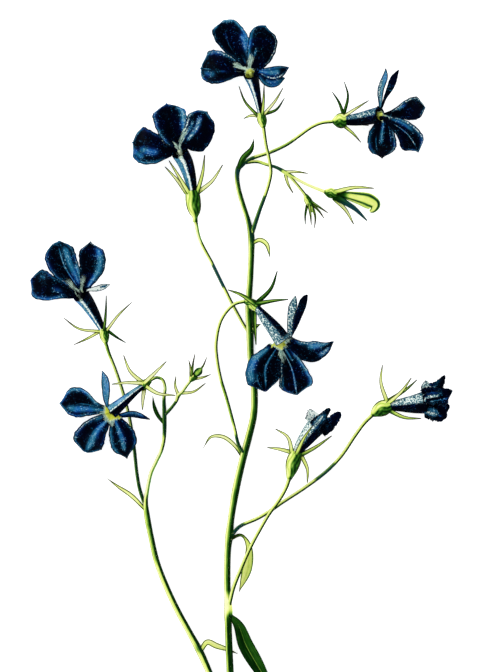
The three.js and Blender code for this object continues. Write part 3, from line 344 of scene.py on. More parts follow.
FLOWERS["upper_right"] = dict(
    calyx=[[23.1, 53.5, 2.9, 0.6], [24.3, 53.6, 2.95, 1.7], [25.4, 53.7, 3, 1.95], [26.5, 53.75, 3.05, 1.5]],
    sepals=[
        (0.85, [26.1, 54.9, 3.3], [26.9, 59.8, 3.9], [26, 63.4, 3.2]),
        (0.85, [25.5, 55.1, 3.1], [24.7, 58.2, 3.4], [23, 60.9, 2.8]),
        (0.08, [26.6, 54.7, 3.7], [29.4, 57, 4.1], [32.1, 58.7, 3.6]),
        (0.35, [26.4, 52.6, 3], [28.3, 50.4, 2.8], [30.2, 48.3, 2]),
        (0.4, [26.5, 53.6, 2], [29.3, 53, 1.2], [32.2, 52.6, 0.7]),
    ],
    sepal_width=0.85,
    tube=[[26, 53.75, 3, 1.2], [29, 54, 3.3, 1.6], [32.3, 54.6, 3.9, 1.95], [34.9, 55.1, 5.2, 2.05]],
    marks=tube_marks(0.45, 0.45, 0.75, 0.6, eye=1),
    dust=0.95,
    petals=[
        lobe(
            [46.3, 57, 1.4], 2, rims=(0.6, 0.75, 0.2), lines=(0.9, 0.9, 0.1),
            left=(0.3, 0.4, 1.1, 2.7, 3, 2.3, 1.4, 0.12), right=(0.4, 0.5, 1.5, 2.6, 2.5, 1.7, 0.7, 0.12),
            streaks=[(-0.55, 0.22, 0.28, 0.5, 0.85, 0), (-0.1, 0.05, 0.5, 0.6, 0.7, 0)],
        ),
        lobe(
            [44.5, 45.8, 2.2], 1.6, 1.1, point=(0, 0.1), rims=(0.85, 0.8, 0.35), lines=(0.9, 0.5, 0.3),
            eye=(0.7, -0.6, 3, 1.3), left=(1, 1.5, 2.4, 3, 3.15, 2.5, 1.25, 0.12),
            right=(0.5, 0.7, 1.2, 2.3, 3.1, 1.5, 0.3, 0.12),
            streaks=[
                (-0.1, 0.04, 0.25, 0.88, 1, 0.7), (-0.6, 0.22, 0.15, 0.6, 0.75, 0),
                (-0.8, 0.14, 0.05, 0.2, 1, 1),
            ],
        ),
        lobe(
            [35.5, 44.3, -0.15], 1.8, -0.2, rims=(0.75, 0.3, 0.75), lines=(0.6, 0, 0.3),
            left=(1.2, 1.75, 3.2, 3.65, 3, 1.3, 0.35, 0.08), right=(1.4, 2.2, 3.5, 3.6, 2.7, 1.3, 0.35, 0.08),
            streaks=[
                (0.05, 0.16, 0.06, 0.55, 0.85, 0), (0.42, 0.05, 0.35, 0.75, 0.75, 0),
                (-0.62, 0.06, 0.1, 0.5, 0.6, 0),
            ],
        ),
    ],
    lips=[
        lobe(
            [36.3, 66.7, 3.6], 0.8, rims=(0.9, 0.5, 0.3), body=0.85,
            left=(0.5, 0.6, 1.15, 1.35, 0.8, 0.36, 0.15, 0.1),
            right=(0.25, 0.1, 0.15, 0.3, 0.8, 0.72, 0.36, 0.1),
            streaks=[(-0.6, 0.35, 0.2, 0.75, 0.9, 0.9)],
        ),
        lobe(
            [39.6, 66.4, 3.2], 0.6, rims=(0.3, 0.2, 0.2), body=0.1,
            left=(0.3, 0.4, 0.7, 0.85, 1.1, 0.9, 0.4, 0.1),
            right=(0.3, 0.2, 0.05, 0.75, 0.75, 0.4, 0.25, 0.1),
        ),
    ],
)

FLOWERS["left"] = dict(
    calyx=[[-33.5, -1.7, 2.5, 0.6], [-33.75, -0.2, 2.7, 1.2], [-34.1, 1.9, 2.9, 1.1]],
    sepals=[
        (0.7, [-34, 1.8, 3.5], [-33.4, 6.2, 4.4], [-33.3, 10.1, 4.2]),
        (0.1, [-33.4, 1.6, 3.2], [-30.3, 5.2, 3.8], [-27, 8.4, 3]),
        (0.9, [-33.2, 1.2, 3], [-30.9, -0.2, 3.1], [-28.5, -1.7, 2.4]),
        (0.15, [-34.8, 1.8, 3.1], [-40.1, 1.8, 3.3], [-44, 4.5, 2.2]),
        (0.25, [-34.8, 1.3, 2.9], [-38, -0.6, 2.8], [-41.5, -2.2, 2]),
    ],
    sepal_width=0.8,
    tube=[[-34.2, 1.4, 2.9, 0.75], [-35.9, 4.6, 3.3, 1.35], [-38, 8.1, 4.3, 1.85], [-39.6, 10.3, 6, 2.1]],
    marks=tube_marks(0.42, 0.17, 1.6, spill=0.5),
    dust=0,
    petals=[
        lobe(
            [-52.4, 14, -0.15], 2.2, 0.8, rims=(0.85, 0.8, 0.7), lines=(0.5, 0.5, 0.3),
            eye=(0.85, 0.95, 3.6, 0), left=(1.2, 1.6, 1.9, 3.3, 3.4, 1.75, 0.75, 0.12),
            right=(1, 1.6, 3, 3.6, 3.8, 3.2, 1.9, 0.25),
            streaks=[(0, 0.3, 0.24, 0.45, 0.6, 0), (0.55, 0.2, 0.6, 0.85, 0.6, 0)],
        ),
        lobe(
            [-45.9, 23.3, 4], 1.6, 1, point=(0.6, 0.35), rims=(0.7, 0.8, 0.7), lines=(0.5, 0.4, 0.6),
            eye=(0.68, -0.5, 6.6, 1), left=(1.1, 1.7, 2.1, 3.3, 3.6, 3, 2, 0.9),
            right=(1, 1.6, 3.1, 3.9, 3.9, 3.5, 2.6, 1.5),
            streaks=[
                (0.48, 0.28, 0.12, 0.9, 0.8, 0.1), (0.12, 0.05, 0.12, 0.9, 0.9, 0.4),
                (0.8, 0.2, 0.1, 0.5, 0.85, 0),
            ],
        ),
        lobe(
            [-37.2, 23.5, 4.4], 1.6, -1.1, point=(-0.3, 0.2), rims=(0.35, 0.7, 0.6), lines=(0.2, 0.7, 0.4),
            eye=(0.68, -0.6, 5.6, 1), left=(0.8, 1, 2.05, 3, 3.05, 2.55, 1.15, 0.1),
            right=(1.2, 1.6, 2.4, 3.5, 3.2, 2.35, 0.6, 0.1),
            streaks=[(0.6, 0.32, 0.12, 0.88, 0.84, 0.26)],
        ),
    ],
    lips=[
        lobe(
            [-32.3, 12.8, 5.2], 0.3, rims=(0.2, 0.2, 0.2), pale=1.6, body=0.6,
            left=(0.3, 0.3, 0.4, 0.55, 0.6, 0.4, 0.15, 0.05), right=(0.3, 0.3, 0.6, 0.9, 0.8, 0.5, 0.2, 0.05),
            streaks=[(0, 0.6, 0.6, 0.9, 0.3, -0.9)],
        ),
        lobe(
            [-34.2, 16.6, 2.8], -1, left=(0.5, 0.6, 0.8, 0.9, 0.8, 0.5, 0.3, 0.1),
            right=(0.5, 0.6, 0.8, 0.9, 0.8, 0.5, 0.3, 0.1),
        ),
    ],
)

FLOWERS["lower_left"] = dict(
    calyx=[[-22.4, -11.15, 3.65, 0.6], [-23.4, -11.8, 4.2, 1.15], [-24.5, -12.7, 4.8, 1.15]],
    sepals=[
        (0.15, [-24.3, -12, 5.3], [-27.3, -8.8, 5.4], [-29, -4.8, 4.4]),
        (0.06, [-23.6, -11.5, 5], [-21, -9, 5.1], [-18.3, -6.3, 4.4]),
        (0.08, [-24.9, -12.3, 5.6], [-28.2, -11.6, 6.5], [-31.9, -12, 6]),
        (0.12, [-23.7, -12.5, 4.9], [-20.4, -14.3, 4.7], [-16.1, -14.8, 3.6]),
        (0.05, [-24.4, -13.2, 4.6], [-24.2, -16, 4.4], [-24.3, -18.4, 3.8]),
    ],
    tube=[
        [-24.1, -12.4, 4.6, 0.65], [-26.4, -14.2, 5.2, 1], [-29.3, -16.7, 5.5, 1.45], [-32, -18.9, 5.2, 1.8],
    ],
    marks=tube_marks(0.18, 0.12, 1.6, 0.9, eye=0.4),
    dust=0,
    petals=[
        lobe(
            [-45.1, -16.8, 1.2], 1.6, -0.7, point=(0, 0.1), rims=(0.7, 0.9, 1), lines=(0.2, 0.3, 0.3),
            eye=(0.95, -0.9, 3.4, 1.7), left=(1.2, 1.7, 2.8, 3.85, 3.3, 2.1, 1.1, 0.12),
            right=(0.4, 0.4, 1.1, 3.7, 3.5, 2, 0.6, 0.1),
            streaks=[(-0.45, 0.3, 0.05, 0.85, 0.78, 0), (-0.12, 0.05, 0.1, 0.6, 0.8, 0)],
        ),
        lobe(
            [-39, -28.9, -0.15], 1.8, -1.4, point=(0.9, 0.1), rims=(0.5, 0.8, 0.8), lines=(0.2, 0.3, 0.8),
            eye=(0.95, 0.1, 4.6, 3), left=(0.7, 0.8, 2.5, 3.9, 3.85, 3.2, 2.2, 1),
            right=(1.2, 1.5, 2.2, 3.3, 3.85, 2.9, 1.3, 0.15),
            streaks=[(-0.2, 0.3, 0.14, 0.98, 0.84, 0.1), (0.6, 0.3, 0.2, 0.4, 0.7, 0)],
        ),
        lobe(
            [-28.2, -30.7, 1.4], 1.6, 0.5, rims=(0.6, 0.4, 0.9), lines=(0.3, 0.2, 0.4),
            eye=(0.95, 0.6, 3.6, 1.7), left=(1.2, 1.5, 2.6, 3.4, 2.3, 0.9, 0.35, 0.08),
            right=(1, 1.4, 3, 3.5, 3.05, 1.45, 0.45, 0.08),
            streaks=[(0.1, 0.24, 0.06, 0.8, 0.8, 0), (-0.85, 0.1, 0.4, 0.7, 0.6, 0)],
        ),
    ],
    lips=[
        lobe(
            [-34.4, -8.6, 3.6], 0.5, roll=-8, rims=(0.5, 0.6, 0.4), lines=(0, 0.8, 0.4), body=0.85,
            left=(0.4, 0.3, 0.75, 0.75, 0.6, 0.3, 0.15, 0.1), right=(0.4, 0.4, 0.9, 1.35, 1.4, 1, 0.45, 0.1),
            streaks=[(0.5, 0.2, 0.6, 0.9, 0.9, 0.7)],
        ),
        lobe(
            [-22.4, -20.8, 3], 0.5, 0.7, roll=8, rims=(0.9, 0.2, 0.2), lines=(0.5, 0, 0), body=0.35,
            left=(0.5, 0.5, 0.8, 1.1, 0.85, 0.5, 0.25, 0.1), right=(0.4, 0.4, 0.5, 0.6, 0.5, 0.35, 0.2, 0.1),
        ),
    ],
)

FLOWERS["centre"] = dict(
    calyx=[[1.3, 8.6, 3.3, 0.6], [2.7, 8.2, 3.8, 1.2], [4.5, 7.1, 4.4, 1.25]],
    sepals=[
        (0.6, [3.7, 8.1, 5], [0.2, 10.3, 5.3], [-3, 11.5, 4.4]),
        (0.85, [4.9, 7.7, 5.1], [7.7, 11.8, 5.4], [9.3, 16.2, 4.4]),
        (0.68, [5.2, 7.2, 5.3], [8.6, 8.8, 6.2], [12, 9.1, 6.4]),
        (0.7, [4, 6.3, 4.2], [3.7, 2.4, 4.4], [4, -2.2, 3.8]),
        (0.6, [4.6, 6.9, 3.4], [6.4, 4, 3], [8.3, 1.2, 2.6]),
    ],
    sepal_width=1.2,
    tube=[[4, 7.4, 4.3, 0.7], [6, 4.9, 4.9, 1.35], [8.6, 1.8, 5.3, 1.9], [10.7, -1.2, 5, 2.1]],
    marks=tube_marks(0.55, 0.8, 0.8, 0.75, eye=1, collar=0.6),
    dust=0.9,
    petals=[
        lobe(
            [6.3, -13.9, 2.7], 1.2, -1.9, rims=(0.3, 0.6, 0.9), lines=(0.2, 0.3, 0.4),
            eye=(0.9, -0.9, 4, 1.6), left=(1.2, 1.8, 3.5, 4.5, 4.1, 2.75, 1.4, 0.4),
            right=(1.5, 2, 2.6, 4.15, 4.15, 3.4, 1.65, 0.4),
            streaks=[
                (0.72, 0.3, 0.18, 0.8, 0.86, 0), (-0.12, 0.07, 0.1, 0.95, 0.82, 0),
                (0.35, 0.06, 0.6, 0.95, 0.7, 0),
            ],
        ),
        lobe(
            [14.3, -14.8, -0.15], 1.8, 1, rims=(1, 0.8, 0.6), lines=(0.6, 0.5, 0.7), eye=(1, 0.55, 7, 2.5),
            left=(2.1, 2.4, 2.7, 3.35, 4.35, 3.4, 1.4, 0.12), right=(0.8, 1, 2.1, 3.4, 4, 3.35, 1.65, 0.12),
            streaks=[
                (0.02, 0.07, 0.06, 0.98, 1, 0.6), (-0.3, 0.12, 0.02, 0.4, 0.8, 0),
                (0.75, 0.05, 0.55, 0.9, 0.8, 0),
            ],
        ),
        lobe(
            [23.4, -1.4, 1.6], 1.4, -2.7, rims=(0.95, 0.4, 0.3), lines=(0.8, 0.3, 0.2),
            eye=(0.6, 0.5, 3, 1.6), left=(0.5, 0.5, 1.15, 2.35, 1.6, 0.45, 0.3, 0.1),
            right=(1.7, 1.9, 2.5, 3.2, 2.25, 1.5, 0.7, 0.1),
            streaks=[(-0.45, 0.5, 0.4, 0.92, 0.86, 0), (0.6, 0.3, 0.6, 0.9, 0.8, 0.55)],
        ),
    ],
    lips=[
        lobe(
            [13.8, 10, 4.8], 1.1, roll=-14, pale=0.8, body=0.85,
            left=(0.6, 0.7, 0.95, 1.2, 1.25, 1, 0.5, 0.1), right=(0.7, 0.75, 0.5, 0.55, 0.8, 0.7, 0.35, 0.1),
        ),
        lobe(
            [16.8, 10.3, 3], 0.2, roll=12, rims=(0.4, 0.3, 0.2), body=0.12,
            left=(0.3, 0.4, 0.85, 0.85, 1.1, 1.2, 0.95, 0.2), right=(0.5, 0.6, 0.85, 1, 0.95, 0.7, 0.4, 0.2),
        ),
    ],
)

FLOWERS["right"] = dict(
    calyx=[[32.9, -19.7, 2.75, 0.65], [34.3, -18.7, 2.9, 1.7], [35.8, -17.9, 3, 2], [37.6, -17.3, 3.1, 1.45]],
    sepals=[
        (0.15, [36.2, -16.5, 3.4], [35.1, -11.5, 4], [35.5, -7.2, 3.2]),
        (0.18, [37.3, -16.6, 4], [40.2, -13.8, 4.7], [42.7, -10.4, 4.2]),
        (0.6, [37.5, -16.3, 3.4], [41.3, -13.4, 3.4], [44.2, -10.9, 2.6]),
        (0.45, [37.5, -18.3, 3.3], [41, -20.3, 3.5], [45.2, -20.6, 2.6]),
        (0.4, [37, -17.5, 1.9], [40.2, -17.2, 1.2], [43.2, -16.8, 0.7]),
    ],
    tube=[[37, -17.5, 3.05, 1], [40, -17.2, 3.1, 1.7], [43.4, -16.9, 3.1, 2.4], [46.4, -16.5, 3.1, 2.9]],
    marks=tube_marks(0.45, 0.5, 1, 0.5),
    petals=[
        lobe(
            [51.1, -9.8, 3.6], 0.8, -0.9, rims=(0.6, 0.1, 0.2), left=(1.3, 1.6, 1.7, 1.5, 1, 0.65, 0.4, 0.12),
            right=(1.4, 1.7, 1.8, 1.4, 1, 0.6, 0.4, 0.12),
            streaks=[(-0.3, 0.2, 0.1, 0.6, 0.8, 0.4)],
        ),
        lobe(
            [52.9, -13.6, 4.4], 1, rims=(0.3, 0.2, 0.3), left=(1.4, 1.7, 1.8, 1.3, 0.9, 0.6, 0.4, 0.12),
            right=(1.4, 1.8, 2.5, 3.1, 3, 2, 0.9, 0.15),
            streaks=[(0, 0.16, 0.2, 0.7, 0.8, 0.5), (0.6, 0.1, 0.4, 0.8, 0.7, 0)],
        ),
        lobe(
            [52.3, -17.4, 2.4], -0.7, rims=(0.3, 0.2, 0.3), left=(1.4, 1.8, 2, 2.2, 1.9, 1.3, 0.8, 0.4),
            right=(1.4, 1.8, 2, 2.2, 2.2, 1.7, 1.2, 0.7),
            streaks=[(-0.2, 0.16, 0.2, 0.6, 0.8, 0.5)],
        ),
        lobe(
            [51.6, -20.2, 2.8], 0.8, 0.6, rims=(0.3, 0.2, 0.3),
            left=(1.4, 1.8, 2.4, 2.8, 2.5, 1.5, 0.8, 0.15), right=(1.2, 1.6, 2, 2.2, 2, 1.5, 1, 0.5),
            streaks=[(0.3, 0.12, 0.2, 0.8, 0.7, 0.3)],
        ),
        lobe(
            [47, -11.5, 3.8], 0.5, 0.5, rims=(1, 1, 0.7), lines=(1, 1, 0.3), pale=0.9, body=0.9,
            left=(0.9, 1.1, 1.2, 0.9, 0.8, 0.8, 0.8, 0.6), right=(1.2, 1.8, 2.3, 2.8, 3.2, 3.1, 2.6, 1.8),
            streaks=[(0.1, 0.4, 0, 0.9, 1, 1.2)],
        ),
        lobe(
            [49.4, -19.4, 4.4], 0.7, rims=(0.6, 0.7, 0.5), body=0.6,
            left=(0.8, 0.9, 1.2, 1.3, 1.2, 1, 0.7, 0.3), right=(0.8, 0.9, 1.1, 1.2, 1.1, 0.9, 0.6, 0.3),
            streaks=[(0.2, 0.4, 0.1, 0.9, 0.9, 1)],
        ),
        lobe(
            [50.9, -14.9, 5.2], 0.5, rims=(0.6, 0.8, 0.4), body=0.1,
            left=(1, 1.2, 1.5, 1.6, 1.4, 1.1, 0.7, 0.3), right=(1, 1.2, 1.5, 1.6, 1.5, 1.1, 0.7, 0.2),
            streaks=[(-0.3, 0.22, 0.1, 0.8, 0.9, 1.1), (0.5, 0.1, 0.3, 0.9, 0.8, 0.3)],
        ),
    ],
)

FLOWERS["inner"] = dict(
    calyx=[
        [12.25, -35.7, 2.95, 0.65], [12.8, -33.4, 3.1, 1.5], [13.3, -31.4, 3.3, 1.85],
        [14.1, -28.7, 3.5, 1.5],
    ],
    sepals=[
        (0.15, [13.2, -28.9, 4], [11.9, -25.2, 4.6], [8.8, -23.1, 3.8]),
        (0.22, [12.9, -29.2, 3.6], [9.9, -28.2, 3.8], [6.8, -27.8, 3]),
        (0.45, [15.2, -29.4, 3.5], [19, -27.6, 3.4], [22.9, -24.9, 2.4]),
        (0.28, [15.2, -30.4, 3.3], [16.8, -33.2, 3.3], [16.8, -36.6, 2.6]),
        (0.32, [14.4, -28.4, 5.2], [16, -25.2, 6.7], [18.2, -22.1, 7.2]),
    ],
    tube=[[13.9, -29.3, 3.5, 0.95], [15.5, -26.8, 3.7, 1.75], [17.6, -24, 3.8, 2.3], [19.2, -22.2, 3.8, 2.5]],
    marks=tube_marks(0.45, 0.6, 1.2, 0.6),
    petals=[
        lobe(
            [18.9, -18.9, 4.4], 0.4, rims=(0.9, 0.6, 0.6), pale=1.3, body=0.7,
            left=(1.2, 1.4, 1.4, 1.5, 1.8, 1.7, 1.3, 0.8), right=(1.2, 1.5, 1.8, 2.2, 2.6, 2.7, 2.4, 1.6),
            streaks=[(0.4, 0.5, 0, 0.8, 0.5, -0.3)],
        ),
        lobe(
            [22.4, -18, 5], 0.6, rims=(0.5, 0.1, 0.2), body=0.06, left=(1.2, 1.4, 1.3, 1, 0.8, 0.6, 0.5, 0.3),
            right=(1.2, 1.4, 1.3, 1, 0.8, 0.6, 0.5, 0.3),
            streaks=[(-0.3, 0.2, 0, 0.7, 0.8, 0)],
        ),
        lobe(
            [25.1, -19, 3.4], 0.6, rims=(0.4, 0.3, 0.3), body=0.06,
            left=(1.2, 1.5, 1.6, 1.6, 1.2, 1, 0.9, 0.12), right=(1.1, 1.3, 1.4, 1.4, 1.2, 0.9, 0.6, 0.12),
            streaks=[(0, 0.1, 0.1, 0.7, 0.8, 0)],
        ),
        lobe(
            [23.4, -22.6, 3.2], 0.4, rims=(0.6, 0.3, 0.3), body=0.06,
            left=(1, 1.2, 1.3, 1.2, 1, 0.8, 0.5, 0.2), right=(0.9, 1, 1, 0.9, 0.8, 0.6, 0.4, 0.2),
            streaks=[(0, 0.2, 0.1, 0.7, 0.7, 0)],
        ),
        lobe(
            [23, -20.6, 2.2], -0.5, body=0.06, left=(1.2, 1.5, 1.6, 1.7, 1.6, 1.3, 0.8, 0.3),
            right=(1.1, 1.3, 1.3, 1.2, 1, 0.8, 0.5, 0.2),
        ),
        lobe(
            [21.3, -19.3, 5.9], 0.3, rims=(0.9, 0.6, 0.3), lines=(0.6, 0.3, 0), body=0.5,
            left=(1.1, 1.2, 1.2, 1.1, 1, 0.8, 0.5, 0.15), right=(1.1, 1.2, 1.2, 1.1, 1, 0.8, 0.5, 0.15),
            streaks=[(-0.1, 0.4, 0, 0.85, 1, 1)],
        ),
    ],
)

FLOWERS = spring(FLOWERS)

# Buds have a calyx, sepals and a closed corolla, the body, whose greenness is the tone.
BUDS = {}
BUDS["green"] = dict(
    calyx=[[21.1, 36, 2.45, 0.55], [22.4, 35.7, 2.55, 1.25], [24.2, 35.3, 2.7, 1.15]],
    sepals=[
        (0.25, [24, 35.9, 3.4], [28.6, 37, 4.3], [33.4, 36.8, 4.2]),
        (0.15, [23.8, 34.4, 2.6], [26.4, 31.4, 2.3], [28.4, 27.9, 1.4]),
        (1, [24.1, 34.6, 3.3], [28.4, 31.9, 3.3], [31.7, 28.8, 2.3]),
        (0.35, [23.9, 35.5, 1.8], [26.6, 35.2, 1], [29.3, 34.5, 0.6]),
    ],
    sepal_width=1.2,
    body=[
        [23.8, 35.4, 2.7, 0.55], [26.5, 35.1, 2.7, 1.05], [29.5, 34.5, 2.5, 1.6], [32, 33.8, 2.2, 2],
        [33.6, 32.8, 2.1, 1.6], [33.2, 31.5, 2.1, 0.9], [32.4, 31, 2.1, 0.3],
    ],
    tone=0.28,
)

BUDS["small"] = dict(
    calyx=[[16.3, 35.3, 1.4, 0.5], [16.9, 34, 1.5, 0.95], [17.7, 32.6, 1.6, 0.9]],
    sepals=[
        (0.75, [17.1, 32.5, 1.7], [16.3, 30.2, 1.9], [16.3, 27.8, 1.3]),
        (0.4, [17.5, 32.3, 2.2], [17.6, 30.1, 2.5], [17.8, 27.7, 1.9]),
        (0.5, [18.1, 32.3, 1.4], [18.8, 29.8, 1.2], [18.6, 26.9, 0.8]),
        (0.6, [18.3, 32.9, 2], [20.2, 31.9, 2.3], [22, 30.7, 1.8]),
        (0.6, [18.2, 32.6, 1.2], [19.9, 31, 1.1], [21, 29.4, 0.7]),
    ],
    sepal_width=0.7,
    body=[[17.5, 33, 1.6, 0.4], [17.9, 31.8, 1.65, 0.6], [18.2, 30.9, 1.7, 0.25]],
    tone=0.5,
)

BUDS["round"] = dict(
    calyx=[[-12.45, -11.2, 1.4, 0.5], [-11.9, -10.5, 1.6, 0.95], [-11.3, -9.8, 1.8, 0.95]],
    sepals=[
        (0.2, [-11.9, -9.7, 1.9], [-12.4, -7.8, 2.2], [-12.8, -6, 1.7]),
        (0.6, [-11.5, -9.4, 2.4], [-11.7, -6.8, 2.8], [-11.2, -4.3, 2.2]),
        (0.45, [-11, -9.6, 1.1], [-9.3, -7.6, 0.9], [-8.3, -5.3, 0.9]),
        (0.15, [-10.9, -10.1, 1.7], [-9.2, -10.3, 1.7], [-7.3, -9.6, 1.2]),
    ],
    sepal_width=0.7,
    body=[[-11.5, -10, 1.75, 0.45], [-10.9, -9.4, 1.9, 0.9], [-10.2, -8.7, 2.05, 1], [-9.6, -8.1, 2.15, 0.4]],
    tone=0.6,
)

BUDS = spring(BUDS)

# Leaves: width, outline, slot, tones and route. The tones are the greenness of the left half, the right half
# and the base, and the strength of the light line along the midrib.
LEAVES = spring({
    "hooked_leaf": (
        1.2, "strap", "leaf", (0.15, 0.3, 0.5, 0.1),
        [[2.9, 23, 0.8], [4.9, 24, 1], [6.6, 23, 1.2], [7.5, 19.6, 0.7]],
    ),
    "upper_leaf": (
        1.5, "strap", "leaf", (0.75, 0.95, 0.9, 0.1),
        [[-0.5, 41.9, 1.2], [0.8, 44.4, 1.9], [2.8, 46.6, 2], [3.5, 49.3, 1.5]],
    ),
    "arched_leaf": (
        1.05, "strap", "pale_leaf", (0.05, 0.12, 0.7, 0.1),
        [[0.8, -30.6, 0.6], [-1.3, -27.4, 0.5], [-4.2, -25.2, 0.9], [-7.2, -25.2, 1.1], [-9.2, -28, 0.6]],
    ),
    "stub_leaf": (
        1.2, "strap", "leaf", (0.4, 0.7, 0.4, 0.1),
        [[2.5, 0.6, 0.8], [4, 2.4, 1.1], [5.2, 3, 1]],
    ),
    "lance_leaf": (
        2.4, "stalked", "pale_leaf", (0.38, 0.26, 1, 0.1),
        [[-2.6, -50.8, 0.75], [0.3, -49.75, 0.6], [2.1, -52.3, 0.75], [1.9, -57.5, 0.75], [-0.2, -63.9, 0.5]],
    ),
    "large_leaf": (
        3.8, "lance", "leaf", (0.9, 1.05, 0.9, 0.45),
        [[-2.9, -69.2, 1.9], [-0.4, -72.2, 2.4], [1.4, -77, 1.9], [4.6, -82.7, 1.2], [9.2, -90.5, 0.5]],
    ),
    "crossing_leaf": (
        1.5, "strap", "pale_leaf", (0.12, 0.25, 0.4, 0.1),
        [[-10, -79, 0.8], [-8.2, -76.5, 0.8], [-5.9, -77.4, 0.5], [-3.2, -78.3, 0.4], [-0.6, -79.4, 0.4]],
    ),
    "left_bract": (
        1.1, "strap", "pale_leaf", (0.1, 0.2, 0.5, 0.1),
        [[-23.3, -43.8, 0.7], [-27.1, -39.9, 0.9], [-30.5, -37.6, 0.8], [-33.2, -35.6, 0.5]],
    ),
    "dark_leaf": (
        1, "strap", "leaf", (0.9, 1, 0.9, 0.1),
        [[-19.1, -21.8, 0.6], [-20.7, -19.5, 0.8], [-21.5, -17.3, 0.9], [-21.8, -15, 0.6]],
    ),
})

# Tiny leaves on the bud stalks: greenness and route
BRACTS = spring({
    "bud_stalk": [
        (0.1, [11.4, 41, 0.8], [14.2, 41, 1.5], [17, 40.6, 1.4]),
        (0.2, [11.3, 40.4, 0.7], [12, 38, 0.6], [13.3, 35.6, 0.5]),
    ],
    "round_bud_stalk": [
        (0.15, [-15.5, -14.6, 0.7], [-16.2, -12.4, 0.9], [-16, -10, 0.6]),
        (0.15, [-14.8, -14.3, 0.7], [-11.6, -13.9, 0.6], [-8.6, -11.8, 0.5]),
    ],
})

# Where a stem changes: from and to, as shares of its length, how much greener and how much bluer
PATCHES = {
    "main_stem": [
        (-0.1, 0.217, 0.3, 0), (0.223, 0.253, -0.8, 0), (0.5, 0.58, 0.1, 0), (0.86, 0.9, 0.25, 0.2),
        (0.97, 1, 0.5, 0.5),
    ],
    "left_stem": [
        (0.19, 0.21, 0.3, 0.1), (0.45, 0.6, 0.25, 0), (0.63, 0.76, -0.3, 0), (0.8, 0.9, 0.6, 0.1),
        (0.92, 0.94, -0.3, 0), (0.965, 0.985, 0.4, 0.4),
    ],
    "stalk_top": [(0.05, 0.38, 0.5, 0.3)],
    "stalk_upper_left": [(0.42, 0.62, 0.5, 0.8), (0.82, 0.98, -0.3, 0)],
    "stalk_upper_right": [(0, 0.14, 0.5, 0.3), (0.3, 0.55, 0.25, 0.1)],
    "bud_stalk": [(0.3, 0.44, 0.5, 0.4), (0.6, 1, -0.25, 0)],
    "stalk_centre": [(-0.1, 0.13, 0.6, 0.2), (0.2, 0.45, 0.3, 0)],
    "stalk_left": [(0, 0.42, 0.6, 0.1), (0.9, 1, 0.3, 0)],
    "stalk_right": [(0, 0.12, 0.6, 0.5), (0.55, 0.68, 0.45, 0.4)],
    "round_bud_stalk": [(0, 0.4, 0.5, 0.1), (0.55, 1, -0.2, 0)],
}


def smooth(low, high, value):
    """0 below low, 1 above high and an even curve between them"""
    share = np.clip((value - low) / (high - low), 0, 1)
    return share * share * (3 - 2 * share)


def unit(vectors):
    lengths = np.linalg.norm(vectors, axis=-1, keepdims=True)
    return vectors / np.maximum(lengths, 1e-9)


def stack(*values):
    return np.stack(np.broadcast_arrays(*values), axis=-1).astype(float)


def bulge(power, sharpness, root):
    """Outline that swells to its full width and narrows to a point, and starts no narrower than its root"""
    return lambda u: np.maximum.reduce(
        [np.sin(np.pi * u**power).clip(0) ** sharpness, root * (1 - u), POINT + 0 * u])


OUTLINES = {
    "lip": bulge(1.25, 0.8, 0.6),
    "stalked": bulge(1.5, 1.1, 0.36),
    "lance": bulge(0.85, 0.9, 0.3),
    "sepal": lambda u: np.maximum(1 - 0.8 * u**1.6, POINT),
    "strap": lambda u: np.maximum((0.6 + 0.4 * np.sin(np.pi * u)) * (1 - u**4), POINT),
}


class Path:
    """Centripetal curve through a route's points, which carries the radius along as a fourth value"""

    samples = np.linspace(0, 1, 400)

    def __init__(self, route):
        table = np.array([[*point[:3], point[3] if len(point) > 3 else 0] for point in route], float)
        self.spans = len(route) - 1
        self.knots = np.vstack([2 * table[0] - table[1], table, 2 * table[-1] - table[-2]])
        steps = np.linalg.norm(np.diff(self.at(self.samples), axis=0), axis=1)
        self.travelled = np.concatenate([[0], np.cumsum(steps)])
        self.length = self.travelled[-1]

    def at(self, t):
        return self.follow(t)[:, :3]

    def radius(self, t):
        return self.follow(t)[:, 3]

    def follow(self, t):
        place = np.clip(np.atleast_1d(t), 0, 1) * self.spans
        index = np.minimum(place.astype(int), self.spans - 1)
        w = (place - index)[:, None]
        p0, p1, p2, p3 = (self.knots[index + k] for k in range(4))
        d0, d1, d2 = (
            np.maximum(np.sum((b - a) ** 2, axis=1, keepdims=True), 1e-8) ** 0.25
            for a, b in ((p0, p1), (p1, p2), (p2, p3))
        )
        m1 = ((p1 - p0) / d0 - (p2 - p0) / (d0 + d1) + (p2 - p1) / d1) * d1
        m2 = ((p2 - p1) / d1 - (p3 - p1) / (d1 + d2) + (p3 - p2) / d2) * d1
        return p1 + m1 * w + (3 * (p2 - p1) - 2 * m1 - m2) * w**2 + (2 * (p1 - p2) + m1 + m2) * w**3

    def heading(self, t):
        near = 1e-4
        t = np.atleast_1d(t)
        return unit(self.at(np.minimum(t + near, 1)) - self.at(np.maximum(t - near, 0)))

    def frames(self, t):
        """Heading, level side and upward direction at each t"""
        along = self.heading(t)
        side = unit(np.cross(along, UP))
        return along, side, np.cross(side, along)

    def parameter(self, share):
        """The curve's own parameter at a share of its length"""
        return np.interp(share * self.length, self.travelled, self.samples)

    def share(self, t):
        """The share of its length at the curve's own parameter"""
        return np.interp(t, self.samples, self.travelled) / self.length


